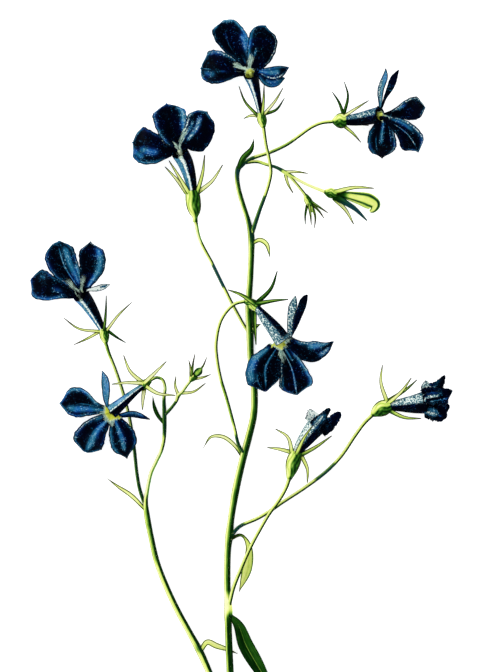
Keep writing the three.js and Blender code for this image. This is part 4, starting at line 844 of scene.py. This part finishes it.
class Form:
    """Points, faces and painted values of one piece"""

    def __init__(self):
        self.points, self.place, self.paint, self.faces = [], [], [], []
        self.count = 0

    def add(self, points, faces, place, paint):
        self.points.append(points.reshape(-1, 3))
        self.place.append(place.reshape(-1, 3))
        self.paint.append(paint.reshape(-1, 3))
        for group in faces:
            self.faces.extend((group + self.count).tolist())
        self.count += self.points[-1].shape[0]

    def make(self, node, slot):
        """The finished piece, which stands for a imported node"""
        points = np.vstack(self.points) - SPRIG_CENTRE
        points[:, 2] = np.maximum(points[:, 2], 0)
        mesh = bpy.data.meshes.new(f"{node}_form")
        mesh.from_pydata((points * MM).tolist(), [], self.faces)
        for name, values in (("place", self.place), ("paint", self.paint)):
            attribute = mesh.attributes.new(name, "FLOAT_VECTOR", "POINT")
            attribute.data.foreach_set("vector", np.vstack(values).astype(np.float32).ravel())
        mesh.shade_smooth()
        mesh.materials.append(MATERIALS[slot])
        piece = bpy.data.objects.new(f"{node}_form", mesh)
        bpy.context.scene.collection.objects.link(piece)
        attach(piece, "root")
        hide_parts(node)


def even_edges(width, outline):
    return lambda u, v: width * OUTLINES[outline](u) / 2 + 0 * v


def drawn_edges(left, right, seed, jagged):
    """Distance from the midrib to the edge on either side, through the stations' values"""
    curves = [
        Path([[STATION_REACH * u, width, 0] for u, width in zip(STATIONS, widths)]).at(Path.samples)
        for widths in (left, right)
    ]
    weights = {-3: 1, -2: 2, -1: 3, 0: 4, 1: 3, 2: 2, 3: 1}

    def edges(u, v):
        step = ROUNDING_STEP * (1 - smooth(0.9, 1, u))
        to_left, to_right = (
            sum(
                weight * np.interp((u + shift * step) * STATION_REACH, curve[:, 0], curve[:, 1])
                for shift, weight in weights.items()
            ) / sum(weights.values())
            for curve in curves
        )
        fuller = 1 + FULLER * smooth(0.5, 0.78, u) * (1 - smooth(0.93, 1, u))
        waves = np.sin(41 * u + seed + 2 * np.sign(v)) + 0.75 * np.sin(67 * u + 3 * seed)
        return np.where(v < 0, to_left, to_right) * fuller * (1 + jagged * waves)

    return edges


def blade_faces(rows, columns):
    """Faces of two sheets, the upper one first, and of the four edges that join them"""
    step = columns + 1
    under = (rows + 1) * step
    corner = (np.arange(rows)[:, None] * step + np.arange(columns)).ravel()
    top = np.stack([corner, corner + 1, corner + step + 1, corner + step], axis=1)
    left = np.arange(rows) * step
    right = left + columns
    start = np.arange(columns)
    end = start + rows * step
    return [
        top,
        top[:, ::-1] + under,
        np.stack([left + step, left + step + under, left + under, left], axis=1),
        np.stack([right, right + under, right + step + under, right + step], axis=1),
        np.stack([start, start + under, start + 1 + under, start + 1], axis=1),
        np.stack([end + 1, end + 1 + under, end + under, end], axis=1),
    ]


def blade(form, route, edges, grid, thickness, cup, relief, painter, roll=0, point=(0, 0)):
    """Thin blade along a midrib, whose edges rise into a cup and which has a relief of its own"""
    path = Path(route)
    rows, columns = grid
    u = 1 - (1 - np.linspace(0, 1, rows + 1)) ** TIP_CROWDING
    v = np.linspace(-1, 1, columns + 1)
    t = path.parameter(u)
    along, side, _ = path.frames(t)
    turn = math.radians(roll)
    side = side * math.cos(turn) + np.cross(along, side) * math.sin(turn)
    over = np.cross(side, along)
    u, v = u[:, None], v[None, :]
    half = edges(u, v)
    rise = cup * half * v**2 + relief(u, v, half)
    onward = point[1] * np.exp(-(((v - point[0]) / POINT_SPREAD) ** 2)) - CORNERS_BACK * half * v**2
    onward = onward * smooth(0.75, 1, u)
    middle = path.at(t)[:, None] + side[:, None] * (v * half)[..., None] + over[:, None] * rise[..., None]
    middle = middle + along[:, None] * onward[..., None]
    middle[..., 2] = np.maximum(middle[..., 2], REST_LEVEL + thickness[1] / 2)
    normal = unit(np.cross(np.gradient(middle, axis=1), np.gradient(middle, axis=0)))
    taper = (1 - v**4) * (1 - u**6)
    depth = (thickness[1] + (thickness[0] - thickness[1]) * taper)[..., None] / 2
    values = painter(u, v, half, path.length)
    sheets = np.stack([middle + normal * depth, middle - normal * depth])
    places = np.stack([stack(u, v, 1), stack(u, v, -1)])
    form.add(sheets, blade_faces(rows, columns), places, np.stack([values, values]))


def tube_faces(rings, sides):
    """Faces between the rings and of the two caps, whose middles are the last two points"""
    index = np.arange(sides)
    following = (index + 1) % sides
    low = (np.arange(rings - 1) * sides)[:, None]
    body = np.stack([low + index, low + index + sides, low + following + sides, low + following], axis=-1)
    top = (rings - 1) * sides
    first, last = rings * sides, rings * sides + 1
    return [
        body.reshape(-1, 4),
        np.stack([np.full(sides, first), index, following], axis=1),
        np.stack([top + index, np.full(sides, last), top + following], axis=1),
    ]


def capped(rings):
    """The rings' rows, with the middles of the first and the last ring after them"""
    return np.vstack([rings.reshape(-1, 3), rings[0].mean(axis=0), rings[-1].mean(axis=0)])


def tube(form, route, painter, detail, ribs, wall=0, pit=0):
    """Closed ribbed tube. One with a wall has an open mouth at its far end, where its skin turns in at the
    rim and runs down the inside for the share of its length that the pit takes."""
    path = Path(route)
    sides = detail[1]
    t = np.linspace(0, 1, path.spans * detail[0] + 1)
    outer = len(t)
    fade = 1
    if wall:
        t = np.concatenate([t, 1 - pit * np.linspace(0, 1, PIT_ROWS + 1)])
        fade = np.sin(np.pi * t.clip(0, 0.95))[:, None]  # ribs are low at both ends
    rings = len(t)
    inside = np.arange(rings) >= outer
    _, side, over = path.frames(t)
    angle = 2 * np.pi * np.arange(sides) / sides
    count, depth = ribs
    radii = path.radius(t)[:, None] * (1 - depth * (0.5 - 0.5 * np.cos(count * angle)) * fade)
    radii = radii - wall * inside[:, None]
    lengths = path.share(t)
    lengths = np.where(inside, 2 - lengths, lengths)
    out = side[:, None] * np.cos(angle)[:, None] + over[:, None] * np.sin(angle)[:, None]
    points = path.at(t)[:, None] + out * radii[..., None]
    # How far each side faces the painted light, from 1 towards the lamp to -1 away; the painters make painted
    # light and shade from it
    facing = np.cos(angle) * np.clip(PAINTED_LIGHT_CONTRAST * (side @ PAINTED_LIGHT_TOWARD), -1, 1)[:, None]
    share = np.broadcast_to(lengths[:, None], facing.shape)
    around = np.broadcast_to(angle / (2 * np.pi), facing.shape)
    values = painter(share, facing, around, out)
    cap_places = [[lengths[0], 0, 1], [lengths[-1], 0, 1]]
    places = np.vstack([stack(share, around, 1).reshape(-1, 3), cap_places])
    form.add(capped(points), tube_faces(rings, sides), places, capped(values))


def hairs(form, route, seed):
    """Sparse short hairs on the upper side of a stem"""
    chance = np.random.default_rng(seed)
    path = Path(route)
    count = int(path.length * HAIRS_PER_MM)
    t = chance.uniform(*HAIRY, count)
    angle = chance.uniform(0, np.pi, count)[:, None]
    along, side, over = path.frames(t)
    out = side * np.cos(angle) + over * np.sin(angle)
    radius = path.radius(t)[:, None]
    root = path.at(t) + out * HAIR_ROOT * radius
    across = np.cross(out, along)
    corners = [
        root + HAIR_RADIUS * (along * math.cos(turn) + across * math.sin(turn))
        for turn in (0, 2 * math.pi / 3, 4 * math.pi / 3)
    ]
    tip = path.at(t) + out * (radius + HAIR_LENGTH) + along * chance.uniform(0, HAIR_LEAN, (count, 1))
    first = 4 * np.arange(count)
    faces = [
        np.stack([first + a, first + b, first + c], axis=1)
        for a, b, c in ((0, 1, 3), (1, 2, 3), (2, 0, 3), (2, 1, 0))
    ]
    shares = np.broadcast_to(t[:, None], (count, 4))
    green = 0.1 + 0 * shares
    form.add(np.stack([*corners, tip], axis=1), faces, stack(shares, 0.25, 1), stack(green, 0, 0))


# Painted values of petals and tubes are how lit by painted light, how pale, mostly as a painted highlight,
# and how close to the eye a point is.
def petal_painter(look):
    """Painted highlights along the rims and in streaks, pale painted highlight lines just inside the edge and
    a pale eye over the root
    """

    def sided(values, u, v):
        """One value for the left edge, one for the tip and one for the right edge"""
        left, tip, right = values
        return np.where(v < 0, left, right) * (1 - smooth(0.7, 0.92, u)) + tip * smooth(0.7, 0.92, u)

    def paint(u, v, half, length):
        inside = np.minimum((1 - np.abs(v)) * half, (1 - u) * length + 0.2)
        strength = sided(look["rims"], u, v)
        rim_width = 0.35 + 0.8 * strength
        rim = strength * np.exp(-((inside / rim_width) ** 2)) * smooth(0.08, 0.3, u)
        lit = np.maximum(look["body"], rim) * smooth(0.04, 0.3, inside)
        line = np.exp(-(((inside - LINE_INSET) / LINE_SPREAD) ** 2))
        pale = sided(look["lines"], u, v) * line * smooth(0.12, 0.3, u)
        pale = np.maximum(pale, look["pale"] * smooth(0.02, 0.22, inside))
        for centre, spread, start, end, light, paleness in look["streaks"]:
            ends = smooth(start - 0.08, start + 0.08, u) * (1 - smooth(end - 0.12, end + 0.08, u))
            band = ends * np.exp(-(((v - centre) / spread) ** 2))
            lit = np.maximum(lit, light * band)
            pale = np.maximum(pale * (1 + min(paleness, 0) * band), paleness * band)
        strength, place, reach, core = look["eye"]
        from_root = u * length
        eye_width = 0.36 + 0.19 * from_root
        across = (v - place) * half / eye_width
        eye = PALE_EYE * strength * (1 - smooth(0.45 * reach, 1.1 * reach, from_root)) * np.exp(-(across**2))
        eye = np.maximum(eye, strength * (1 - smooth(0.75 * core, 1.3 * core + 0.01, from_root)))
        return stack(lit.clip(0, 1), pale, eye)

    return paint


def tube_painter(lobes, look):
    """Tube with a painted highlight streak and painted light on its side towards the lamp, whose throat is
    yellow-green on the side of the broad lobes
    """

    def paint(share, facing, around, out):
        streak_highlight, wider = (
            np.exp(-(np.abs((facing - look["place"]) / spread) ** 3))
            for spread in (look["spread"], SPILL_WIDER * look["spread"])
        )
        # Painted light on the side towards the lamp, with the painted highlight streak over it
        lit = look["near"] * smooth(-0.1, 0.35, facing) * (1 - 0.5 * smooth(0.85, 1, np.abs(facing)))
        lit = np.maximum(lit, look["near"] * streak_highlight)
        toward = out @ lobes
        throat = look["eye"] * smooth(0, 0.5, toward) * smooth(1, 1.05, share)
        lip = EYE_ON_RIM * look["eye"] * smooth(0.5, 0.9, toward) * smooth(0.96, 1, share)
        spill = look["spill"] * wider * smooth(0.94, 0.99, share)
        outside = 1 - smooth(0.98, 1, share)
        pale = np.maximum(look["pale"] * streak_highlight, look["collar"] * smooth(0.82, 0.94, share))
        return stack(lit.clip(0, 1) * outside, pale * outside, np.maximum.reduce([throat, lip, spill]))

    return paint


# Painted values of green pieces are how green, which on stems, sepals, calyxes and buds carries painted light
# and shade, how brown and how blue a point is.
def sepal_painter(tone):
    """Painted shade: greener, that is darker, on the right half; greener along the margin, with a brown tip
    unless it is dark
    """

    def paint(u, v, half, length):
        margin = 1 - smooth(0.09, 0.19, (1 - np.abs(v)) * half)
        green = tone - 0.1 + 0.3 * (1 - smooth(0, 0.2, u)) + 0.8 * margin
        # Painted shade on the right half
        green = green + (0.05 + 0.4 * tone) * smooth(-0.1, 0.4, v)
        brown = np.maximum(smooth(0.75, 1, u), 0.95 * margin) * (1 - 0.8 * smooth(0.5, 0.85, tone))
        blue = 0.9 * smooth(0.9, 1, tone) * smooth(0.1, 0.5, u)
        return stack(green.clip(0, 1), brown, blue + 0 * v)

    return paint


def leaf_painter(left, right, base, midrib):
    """Each half in its own green, with a light midrib and a darker margin"""

    def paint(u, v, half, length):
        margin = 1 - smooth(0.1, 0.22, (1 - np.abs(v)) * half)
        green = left + (right - left) * smooth(-0.1, 0.1, v)
        green = green + (base - green) * (1 - smooth(0.08, 0.3, u)) + 0.6 * margin
        line = midrib * np.exp(-((v / 0.09) ** 2)) * (1 - smooth(0.8, 1, u))
        brown = np.maximum(0.6 * smooth(0.9, 1, u), 0.8 * margin) * (1 - smooth(0.5, 0.85, right))
        return stack((green - line).clip(0, 1), brown, 0)

    return paint


def stem_painter(name):
    """Painted light and shade: pale on the side towards the lamp, with a brown line at its edge, painted
    shade darkest on the far side; patched along its length
    """
    middle = 0.68 if name == "main_stem" else 0.34
    blur = 0.012

    def paint(share, facing, around, out):
        # Painted light towards the lamp and painted shade on the far side
        green = 0.05 + middle * (1 - smooth(0.34, 0.6, facing))
        green = green + (PAINTED_SHADE_SIDE - middle) * (1 - smooth(-0.24, -0.06, facing))
        green = green + 0.5 * smooth(0.78, 0.9, facing)
        blue = 0 * share
        for start, end, greener, bluer in PATCHES.get(name, []):
            inside = smooth(start - blur, start + blur, share) * (1 - smooth(end - blur, end + blur, share))
            green = green + greener * inside
            blue = blue + bluer * inside
        return stack(green.clip(0, 1), 0.85 * smooth(0.72, 0.88, facing), blue.clip(0, 1))

    return paint


def calyx_painter(share, facing, around, out):
    """Green ribs on a ground with painted shade that darkens away from the lamp, with dark edges"""
    # Painted shade away from the lamp
    green = 0.12 + 0.26 * (1 - smooth(0.1, 0.6, facing)) + 0.44 * (1 - smooth(-0.2, 0.2, facing))
    rib = 0.5 - 0.5 * np.cos(CALYX_RIBS[0] * 2 * np.pi * around + 2 * np.sin(9 * share))
    green = green + 0.4 * rib**2 * smooth(0.1, 0.4, share) + 0.3 * (1 - smooth(0, 0.15, share))
    edge = smooth(0.84, 0.97, np.abs(facing))
    return stack((green + 0.45 * edge).clip(0, 1), 0.7 * edge, 0)


def bud_painter(tone):
    """Darkest at its base and along a line on either side of its middle, and darker on the side away from the
    lamp as painted shade
    """

    def paint(share, facing, around, out):
        across = np.abs(np.cos(2 * np.pi * around))
        # Painted shade on the side away from the lamp
        green = tone + 0.3 * (1 - smooth(-0.9, -0.4, facing))
        ring = np.exp(-(((across - 0.62) / 0.16) ** 2)) * smooth(0.12, 0.3, share)
        edge = smooth(0.9, 1, across)
        green = green + 0.75 * ring + 0.3 * edge + 0.7 * (1 - smooth(0.14, 0.3, share))
        return stack(green.clip(0, 1), 0.3 * edge, 0.2 * ring)

    return paint


def petal_relief(seed, crease, wave):
    """Crease along the midrib, a gentle swell on both sides of it and a waved edge"""

    def relief(u, v, half):
        rise = -crease * half * np.exp(-((v / 0.1) ** 2)) * np.sin(np.pi * u**0.8)
        rise = rise + 0.03 * half * np.cos(2 * np.pi * v + seed) * np.sin(np.pi * u)
        return rise + wave * half * np.abs(v) ** 3 * np.sin(2 * np.pi * (2.2 * u) + 1.7 * seed + 1.5 * v)

    return relief


def midrib_relief(depth):
    return lambda u, v, half: -depth * half * np.exp(-((v / 0.2) ** 2)) * np.sin(np.pi * u**0.7)


def rim_towards(route, target, wall):
    """The middle of a tube's wall at its mouth, on the side of a target, and the tube's heading there"""
    path = Path(route)
    mouth, along = path.at(1)[0], path.heading(1)[0]
    out = np.array(target, float) - mouth
    out = unit(out - along * (out @ along)) * (path.radius(1)[0] - wall / 2)
    return mouth + out, along


def petal(form, route, part, grid, seed, character):
    """Petal from the rim of the tube on a route, with its root sunk down the wall"""
    jagged, crease, wave = character
    rim, along = rim_towards(route, part["tip"], TUBE_WALL)
    end = np.array(part["tip"], float)
    leftward = unit(np.cross(UP, end - rim)) * part["bend"]
    middle = (rim + end) / 2 + UP * part["arch"] * SPRING + leftward
    if "width" in part:
        edges = even_edges(part["width"], "lip")
    else:
        edges = drawn_edges(part["left"], part["right"], seed, jagged)
    blade(
        form, [rim - along * PETAL_ROOT, rim, middle, end], edges, grid, PETAL_THICKNESS, PETAL_CUP,
        petal_relief(seed, crease, wave), petal_painter(part), part["roll"], part["point"],
    )


def sepal(form, route, tone, width):
    if tone == 1:
        width = width * GREENEST_WIDER
    blade(
        form, route, even_edges(width, "sepal"), SEPAL_GRID, SEPAL_THICKNESS, SEPAL_CUP,
        midrib_relief(SEPAL_CREASE), sepal_painter(tone),
    )


def calyx(node, plant):
    """Ribbed cup with sepals from its rim"""
    form = Form()
    tube(form, plant["calyx"], calyx_painter, BLOOM_DETAIL, CALYX_RIBS, CALYX_WALL, CALYX_PIT)
    for tone, start, *points in plant["sepals"]:
        rim, along = rim_towards(plant["calyx"], start, CALYX_WALL)
        sepal(form, [rim - along * SEPAL_ROOT, *points], tone, plant.get("sepal_width", SEPAL_WIDTH))
    form.make(node, "calyx")


def corolla(name, flower):
    """Tube with its lower petals, and with upper lips unless it is closing"""
    form = Form()
    route = flower["tube"]
    lobes = unit(np.mean([part["tip"] for part in flower["petals"]], axis=0) - np.array(route[-1][:3]))
    tube(form, route, tube_painter(lobes, flower["marks"]), BLOOM_DETAIL, TUBE_RIBS, TUBE_WALL, TUBE_PIT)
    character = OPEN if "lips" in flower else CLOSING
    for index, part in enumerate(flower["petals"]):
        petal(form, route, part, PETAL_GRID, index + len(name), character)
    for index, part in enumerate(flower.get("lips", [])):
        petal(form, route, part, LIP_GRID, index + 3 * len(name), OPEN)
    form.make(f"corolla_{name}", "petal")


def anthers(name, flower):
    """Bent column that leaves the middle of the tube and stands a little out of its mouth"""
    path = Path(flower["tube"])
    mouth = path.at(1)[0]
    inside = path.at(np.array([ANTHER_START, (1 + ANTHER_START) / 2]))
    out = mouth + path.heading(1)[0] * ANTHER_OUT
    route = [[*point, ANTHER_RADIUS] for point in (*inside, mouth, out)]

    def dusted(share, facing, *_):
        return stack(flower["dust"] + 0 * share, 0, 0)

    form = Form()
    tube(form, route, dusted, ANTHER_DETAIL, ANTHER_RIBS)
    form.make(f"anthers_{name}", "anther")


def stalk(form, name):
    """Stem with hairs, whose end reaches into what it carries"""
    route = STEMS[name]
    path = Path(route)
    end = path.at(1)[0] + path.heading(1)[0] * STALK_REACH
    route = [*route[:-1], [*end, route[-1][3]]]
    tube(form, route, stem_painter(name), STEM_DETAIL, STEM_RIBS)
    hairs(form, route, len(name))


def stems():
    fork = {"bud_stalk": "small_bud_stalk"}  # the second stalk is part of the first one's piece
    for name in STEMS:
        if name in fork.values():
            continue
        form = Form()
        stalk(form, name)
        if name in fork:
            stalk(form, fork[name])
        for tone, *route in BRACTS.get(name, []):
            sepal(form, route, tone, BRACT_WIDTH)
        form.make(name, "stem")


def leaves():
    for name, (width, outline, slot, tones, route) in LEAVES.items():
        form = Form()
        blade(
            form, route, even_edges(width, outline), LEAF_GRID, LEAF_THICKNESS, LEAF_CUP,
            midrib_relief(LEAF_CREASE), leaf_painter(*tones),
        )
        form.make(name, slot)


def flowers():
    for name, flower in FLOWERS.items():
        calyx(f"calyx_{name}", flower)
        corolla(name, flower)
        if "dust" in flower:
            anthers(name, flower)


def buds():
    for name, bud in BUDS.items():
        calyx(f"calyx_{name}_bud", bud)
        form = Form()
        tube(form, bud["body"], bud_painter(bud["tone"]), BUD_DETAIL, BUD_RIBS)
        form.make(f"{name}_bud", "bud")


def colour(code):
    """Linear colour from a six digit code"""
    parts = [int(code[i:i + 2], 16) / 255 for i in (0, 2, 4)]
    return (*(part / 12.92 if part <= 0.04045 else ((part + 0.055) / 1.055) ** 2.4 for part in parts), 1)


class Graph:
    """A node material that is built up step by step"""

    def __init__(self, name):
        self.material = bpy.data.materials.new(name)
        self.material.use_nodes = True
        self.tree = self.material.node_tree
        self.shader = self.tree.nodes["Principled BSDF"]

    def node(self, kind):
        return self.tree.nodes.new(f"ShaderNode{kind}")

    def feed(self, socket, value):
        if isinstance(value, bpy.types.NodeSocket):
            self.tree.links.new(value, socket)
        else:
            socket.default_value = value

    def painted(self, name):
        node = self.node("Attribute")
        node.attribute_name = name
        split = self.node("SeparateXYZ")
        self.feed(split.inputs[0], node.outputs["Vector"])
        return split.outputs

    def math(self, operation, *values):
        node = self.node("Math")
        node.operation = operation
        for socket, value in zip(node.inputs, values):
            self.feed(socket, value)
        return node.outputs[0]

    def times(self, first, second):
        return self.math("MULTIPLY", first, second)

    def centred(self, value):
        return self.math("SUBTRACT", value, 0.5)

    def sum(self, first, *terms):
        """First value plus each further value times its weight"""
        for value, weight in terms:
            first = self.math("MULTIPLY_ADD", value, weight, first)
        return first

    def here(self):
        return self.node("TexCoord").outputs["Object"]

    def noise(self, where, scale, detail=3):
        node = self.node("TexNoise")
        for name, value in (("Vector", where), ("Scale", scale), ("Detail", detail), ("Roughness", 0.55)):
            self.feed(node.inputs[name], value)
        return node.outputs["Fac"]

    def grain(self, along, across, detail=3):
        """Noise that is stretched along the piece"""
        node = self.node("CombineXYZ")
        self.feed(node.inputs["X"], along)
        self.feed(node.inputs["Y"], across)
        return self.noise(node.outputs[0], 1, detail)

    def step(self, value, low, high, start=0, end=1):
        node = self.node("MapRange")
        node.interpolation_type = "SMOOTHSTEP"
        for socket, given in zip(node.inputs, (value, low, high, start, end)):
            self.feed(socket, given)
        return node.outputs["Result"]

    def ramp(self, value, stops):
        node = self.node("ValToRGB")
        while len(node.color_ramp.elements) < len(stops):
            node.color_ramp.elements.new(0.5)
        for element, (place, code) in zip(node.color_ramp.elements, stops):
            element.position = place
            element.color = colour(code)
        self.feed(node.inputs["Fac"], value)
        return node.outputs["Color"]

    def mix(self, share, first, second):
        node = self.node("Mix")
        node.data_type = "RGBA"
        sockets = [socket for socket in node.inputs if socket.type == "RGBA"]
        self.feed(node.inputs["Factor"], share)
        for socket, value in zip(sockets, (first, second)):
            self.feed(socket, colour(value) if isinstance(value, str) else value)
        return next(socket for socket in node.outputs if socket.type == "RGBA")

    def finish(self, base, roughness, height, distance, gloss):
        """Bump from a height, over a distance in metres, and the shader's own values"""
        bump = self.node("Bump")
        self.feed(bump.inputs["Distance"], distance)
        self.feed(bump.inputs["Height"], height)
        self.feed(self.shader.inputs["Base Color"], base)
        self.feed(self.shader.inputs["Roughness"], roughness)
        self.feed(self.shader.inputs["Specular IOR Level"], gloss)
        self.feed(self.shader.inputs["Normal"], bump.outputs["Normal"])
        return self.material


# Petal colours in two hues, from unlit dark to the brightest painted highlight
PETAL_TONES = [
    (0, "000108"), (0.2, "010612"), (0.36, "021223"), (0.5, "082c44"), (0.64, "0f4a69"), (0.8, "1c668a"),
    (0.94, "3f86a2"), (1, "8ab8c9"),
]
BLUER_TONES = [
    (0, "000110"), (0.2, "01061c"), (0.36, "03123a"), (0.5, "08285a"), (0.64, "0e4484"), (0.8, "1a64a4"),
    (0.94, "408cbc"), (1, "8ab8d4"),
]
# Pale hatching for painted highlights
HATCH_TONES = [(0, "174f66"), (0.5, "86b4b4"), (1, "f2fbf4")]
EYE_TONES = [(0.6, "c4dfcb"), (0.7, "dceab8"), (0.95, "e0e84a")]
EYE_LINES = "4f8a84"
UNDERSIDE = "4f7896"
# Greens from pale to darkest; on stems, sepals, calyxes and buds the darker end also carries painted shade
GREEN_TONES = [
    (0, "f9fcc8"), (0.2, "f1f894"), (0.35, "e2f07c"), (0.5, "b6d656"), (0.62, "84b242"), (0.75, "447c22"),
    (0.88, "1a4e0e"), (1, "022202"),
]
BLUE_TINT = "123f4c"
BROWN = "3a300e"
POLLEN_TONES = [(0.15, "05060f"), (0.45, "cfe0cc"), (0.9, "cddb62")]
PAPER = ("f4f4f4", "fafafa")


def petal_material():
    """Velvety dark blue with painted highlights in streaks and along the rims, painted glints, pale hatched
    painted highlights, fine veins and a pale eye at the petal's root
    """
    graph = Graph("petal")
    u, v, face = graph.painted("place")
    lit, pale, eye = graph.painted("paint")
    where = graph.here()
    blotch = graph.noise(where, 420)
    grain = graph.noise(where, 2600, detail=2)
    wobble = graph.math("MULTIPLY_ADD", blotch, 0.25, v)
    streak = graph.grain(graph.times(u, 5), graph.times(wobble, 14))
    fine = graph.grain(graph.times(u, 11), graph.times(wobble, 34))
    veined = graph.math("ABSOLUTE", graph.math("SINE", graph.times(wobble, 15)))
    vein = graph.step(veined, 0, 0.3, 1, 0)
    # Painted light: the painted lit value broken by streaks and veins, then painted glints in specks and rows
    bright = graph.times(lit, graph.sum(0.55, (streak, 0.5), (fine, 0.5), (vein, -0.15)))
    gathered = graph.step(graph.noise(where, 700, detail=1), 0.4, 0.6, 0.25, 1)
    painted_glints = graph.times(graph.step(graph.noise(where, 3400, detail=1), 0.61, 0.69), gathered)
    rows = graph.times(graph.step(fine, 0.57, 0.68), gathered)
    bright = graph.sum(bright, (painted_glints, 0.62), (rows, 0.3))
    hue = graph.step(graph.noise(where, 260, detail=1), 0.46, 0.64)
    mixed = graph.mix(hue, graph.ramp(bright, PETAL_TONES), graph.ramp(bright, BLUER_TONES))
    # Pale hatching where a painted highlight is pale
    whiter = graph.step(pale, 0.6, 1.6, -0.07, 0.2)
    spots = graph.noise(where, 2800, detail=1)
    dotted = graph.step(graph.sum(spots, (streak, 0.3), (whiter, 1)), 0.54, 0.76)
    paled = graph.sum(pale, (graph.centred(fine), 0.5))
    mixed = graph.mix(graph.step(paled, 0.3, 0.8), mixed, graph.ramp(dotted, HATCH_TONES))
    lines = graph.times(graph.step(streak, 0.52, 0.42), graph.step(eye, 0.85, 0.62))
    pale_eye = graph.mix(lines, graph.ramp(eye, EYE_TONES), EYE_LINES)
    ragged = graph.sum(-1.8, (fine, 2), (streak, 2.4), (spots, 1.2))
    mixed = graph.mix(graph.step(graph.times(eye, ragged), 0.25, 0.5), mixed, pale_eye)
    mixed = graph.mix(graph.times(graph.step(face, -1, 1, 1, 0), 0.35), mixed, UNDERSIDE)
    height = graph.sum(graph.times(grain, 0.3), (streak, 0.8), (vein, -0.8))
    return graph.finish(mixed, graph.step(blotch, 0.2, 0.8, 0.5, 0.7), height, 0.00006, 0.006)


def green_material(name, lengthwise, crosswise):
    """Plant green whose tone, brown tips and blue patches are painted, with a grain along the piece"""
    graph = Graph(name)
    u, v, _ = graph.painted("place")
    tone, brown, blue = graph.painted("paint")
    where = graph.here()
    blotch = graph.noise(where, 500)
    grain = graph.noise(where, 3000, detail=2)
    fibres = graph.grain(graph.times(u, lengthwise), graph.times(v, crosswise), detail=4)
    shade = graph.sum(tone, (graph.centred(fibres), 0.4), (graph.centred(blotch), 0.15))
    tinted = graph.mix(graph.times(blue, 0.9), graph.ramp(shade, GREEN_TONES), BLUE_TINT)
    aged = graph.sum(brown, (graph.centred(blotch), 0.8))
    tinted = graph.mix(graph.times(graph.step(aged, 0.35, 0.85), 0.85), tinted, BROWN)
    height = graph.sum(graph.times(grain, 0.4), (fibres, 0.9))
    return graph.finish(tinted, graph.step(blotch, 0.2, 0.8, 0.45, 0.65), height, 0.00008, 0.015)


def anther_material():
    """Near black navy, dusted with pollen as far as is painted"""
    graph = Graph("anther")
    pollen, _, _ = graph.painted("paint")
    dust = graph.noise(graph.here(), 4000)
    base = graph.ramp(graph.sum(pollen, (graph.centred(dust), 0.6)), POLLEN_TONES)
    return graph.finish(base, graph.step(dust, 0.3, 0.7, 0.35, 0.6), dust, 0.00005, 0.2)


MATERIALS = {
    "petal": petal_material(),
    "stem": green_material("stem", 60, 16),
    "calyx": green_material("calyx", 5, 12),
    "leaf": green_material("leaf", 5, 9),
    "pale_leaf": green_material("pale_leaf", 5, 9),
    "bud": green_material("bud", 5, 12),
    "anther": anther_material(),
}


def table():
    half = 0.6
    corners = [(-half, -half, 0), (half, -half, 0), (half, half, 0), (-half, half, 0)]
    mesh = bpy.data.meshes.new("table")
    mesh.from_pydata(corners, [], [(0, 1, 2, 3)])
    graph = Graph("table")
    paper = graph.noise(graph.here(), 900)
    graph.feed(graph.shader.inputs["Emission Color"], (1, 1, 1, 1))
    graph.feed(graph.shader.inputs["Emission Strength"], 0.6)
    mesh.materials.append(graph.finish(graph.mix(paper, *PAPER), 0.9, paper, 0.00001, 0))
    floor = bpy.data.objects.new("table", mesh)
    bpy.context.scene.collection.objects.link(floor)


def lights():
    """Even light all round and a soft lamp from the upper left"""
    world = bpy.data.worlds.new("studio")
    bpy.context.scene.world = world
    world.use_nodes = True
    background = world.node_tree.nodes["Background"]
    background.inputs["Color"].default_value = (0.97, 0.98, 1, 1)
    background.inputs["Strength"].default_value = 0.86
    lamp = bpy.data.lights.new("key", "AREA")
    lamp.shape = "DISK"
    lamp.size = 0.5
    lamp.energy = 2.2
    key = bpy.data.objects.new("key", lamp)
    bpy.context.scene.collection.objects.link(key)
    key.location = (-0.5, 0.35, 0.7)
    aim = (-key.location).normalized()
    key.rotation_euler = aim.to_track_quat("-Z", "Y").to_euler()


def camera():
    """Looks straight down on the middle of the picture, which is 168 mm high"""
    height = 1.5
    sensor = 24
    picture = 0.168
    lens = bpy.data.cameras.new("camera")
    lens.sensor_fit = "VERTICAL"
    lens.sensor_height = sensor
    lens.lens = sensor * height / picture
    lens.clip_start = 0.01
    view = bpy.data.objects.new("camera", lens)
    view.location = (*(-SPRIG_CENTRE[:2] * MM), height)
    bpy.context.scene.collection.objects.link(view)
    bpy.context.scene.camera = view


stems()
leaves()
flowers()
buds()
table()
lights()
camera()
bpy.context.scene.view_settings.view_transform = "Standard"
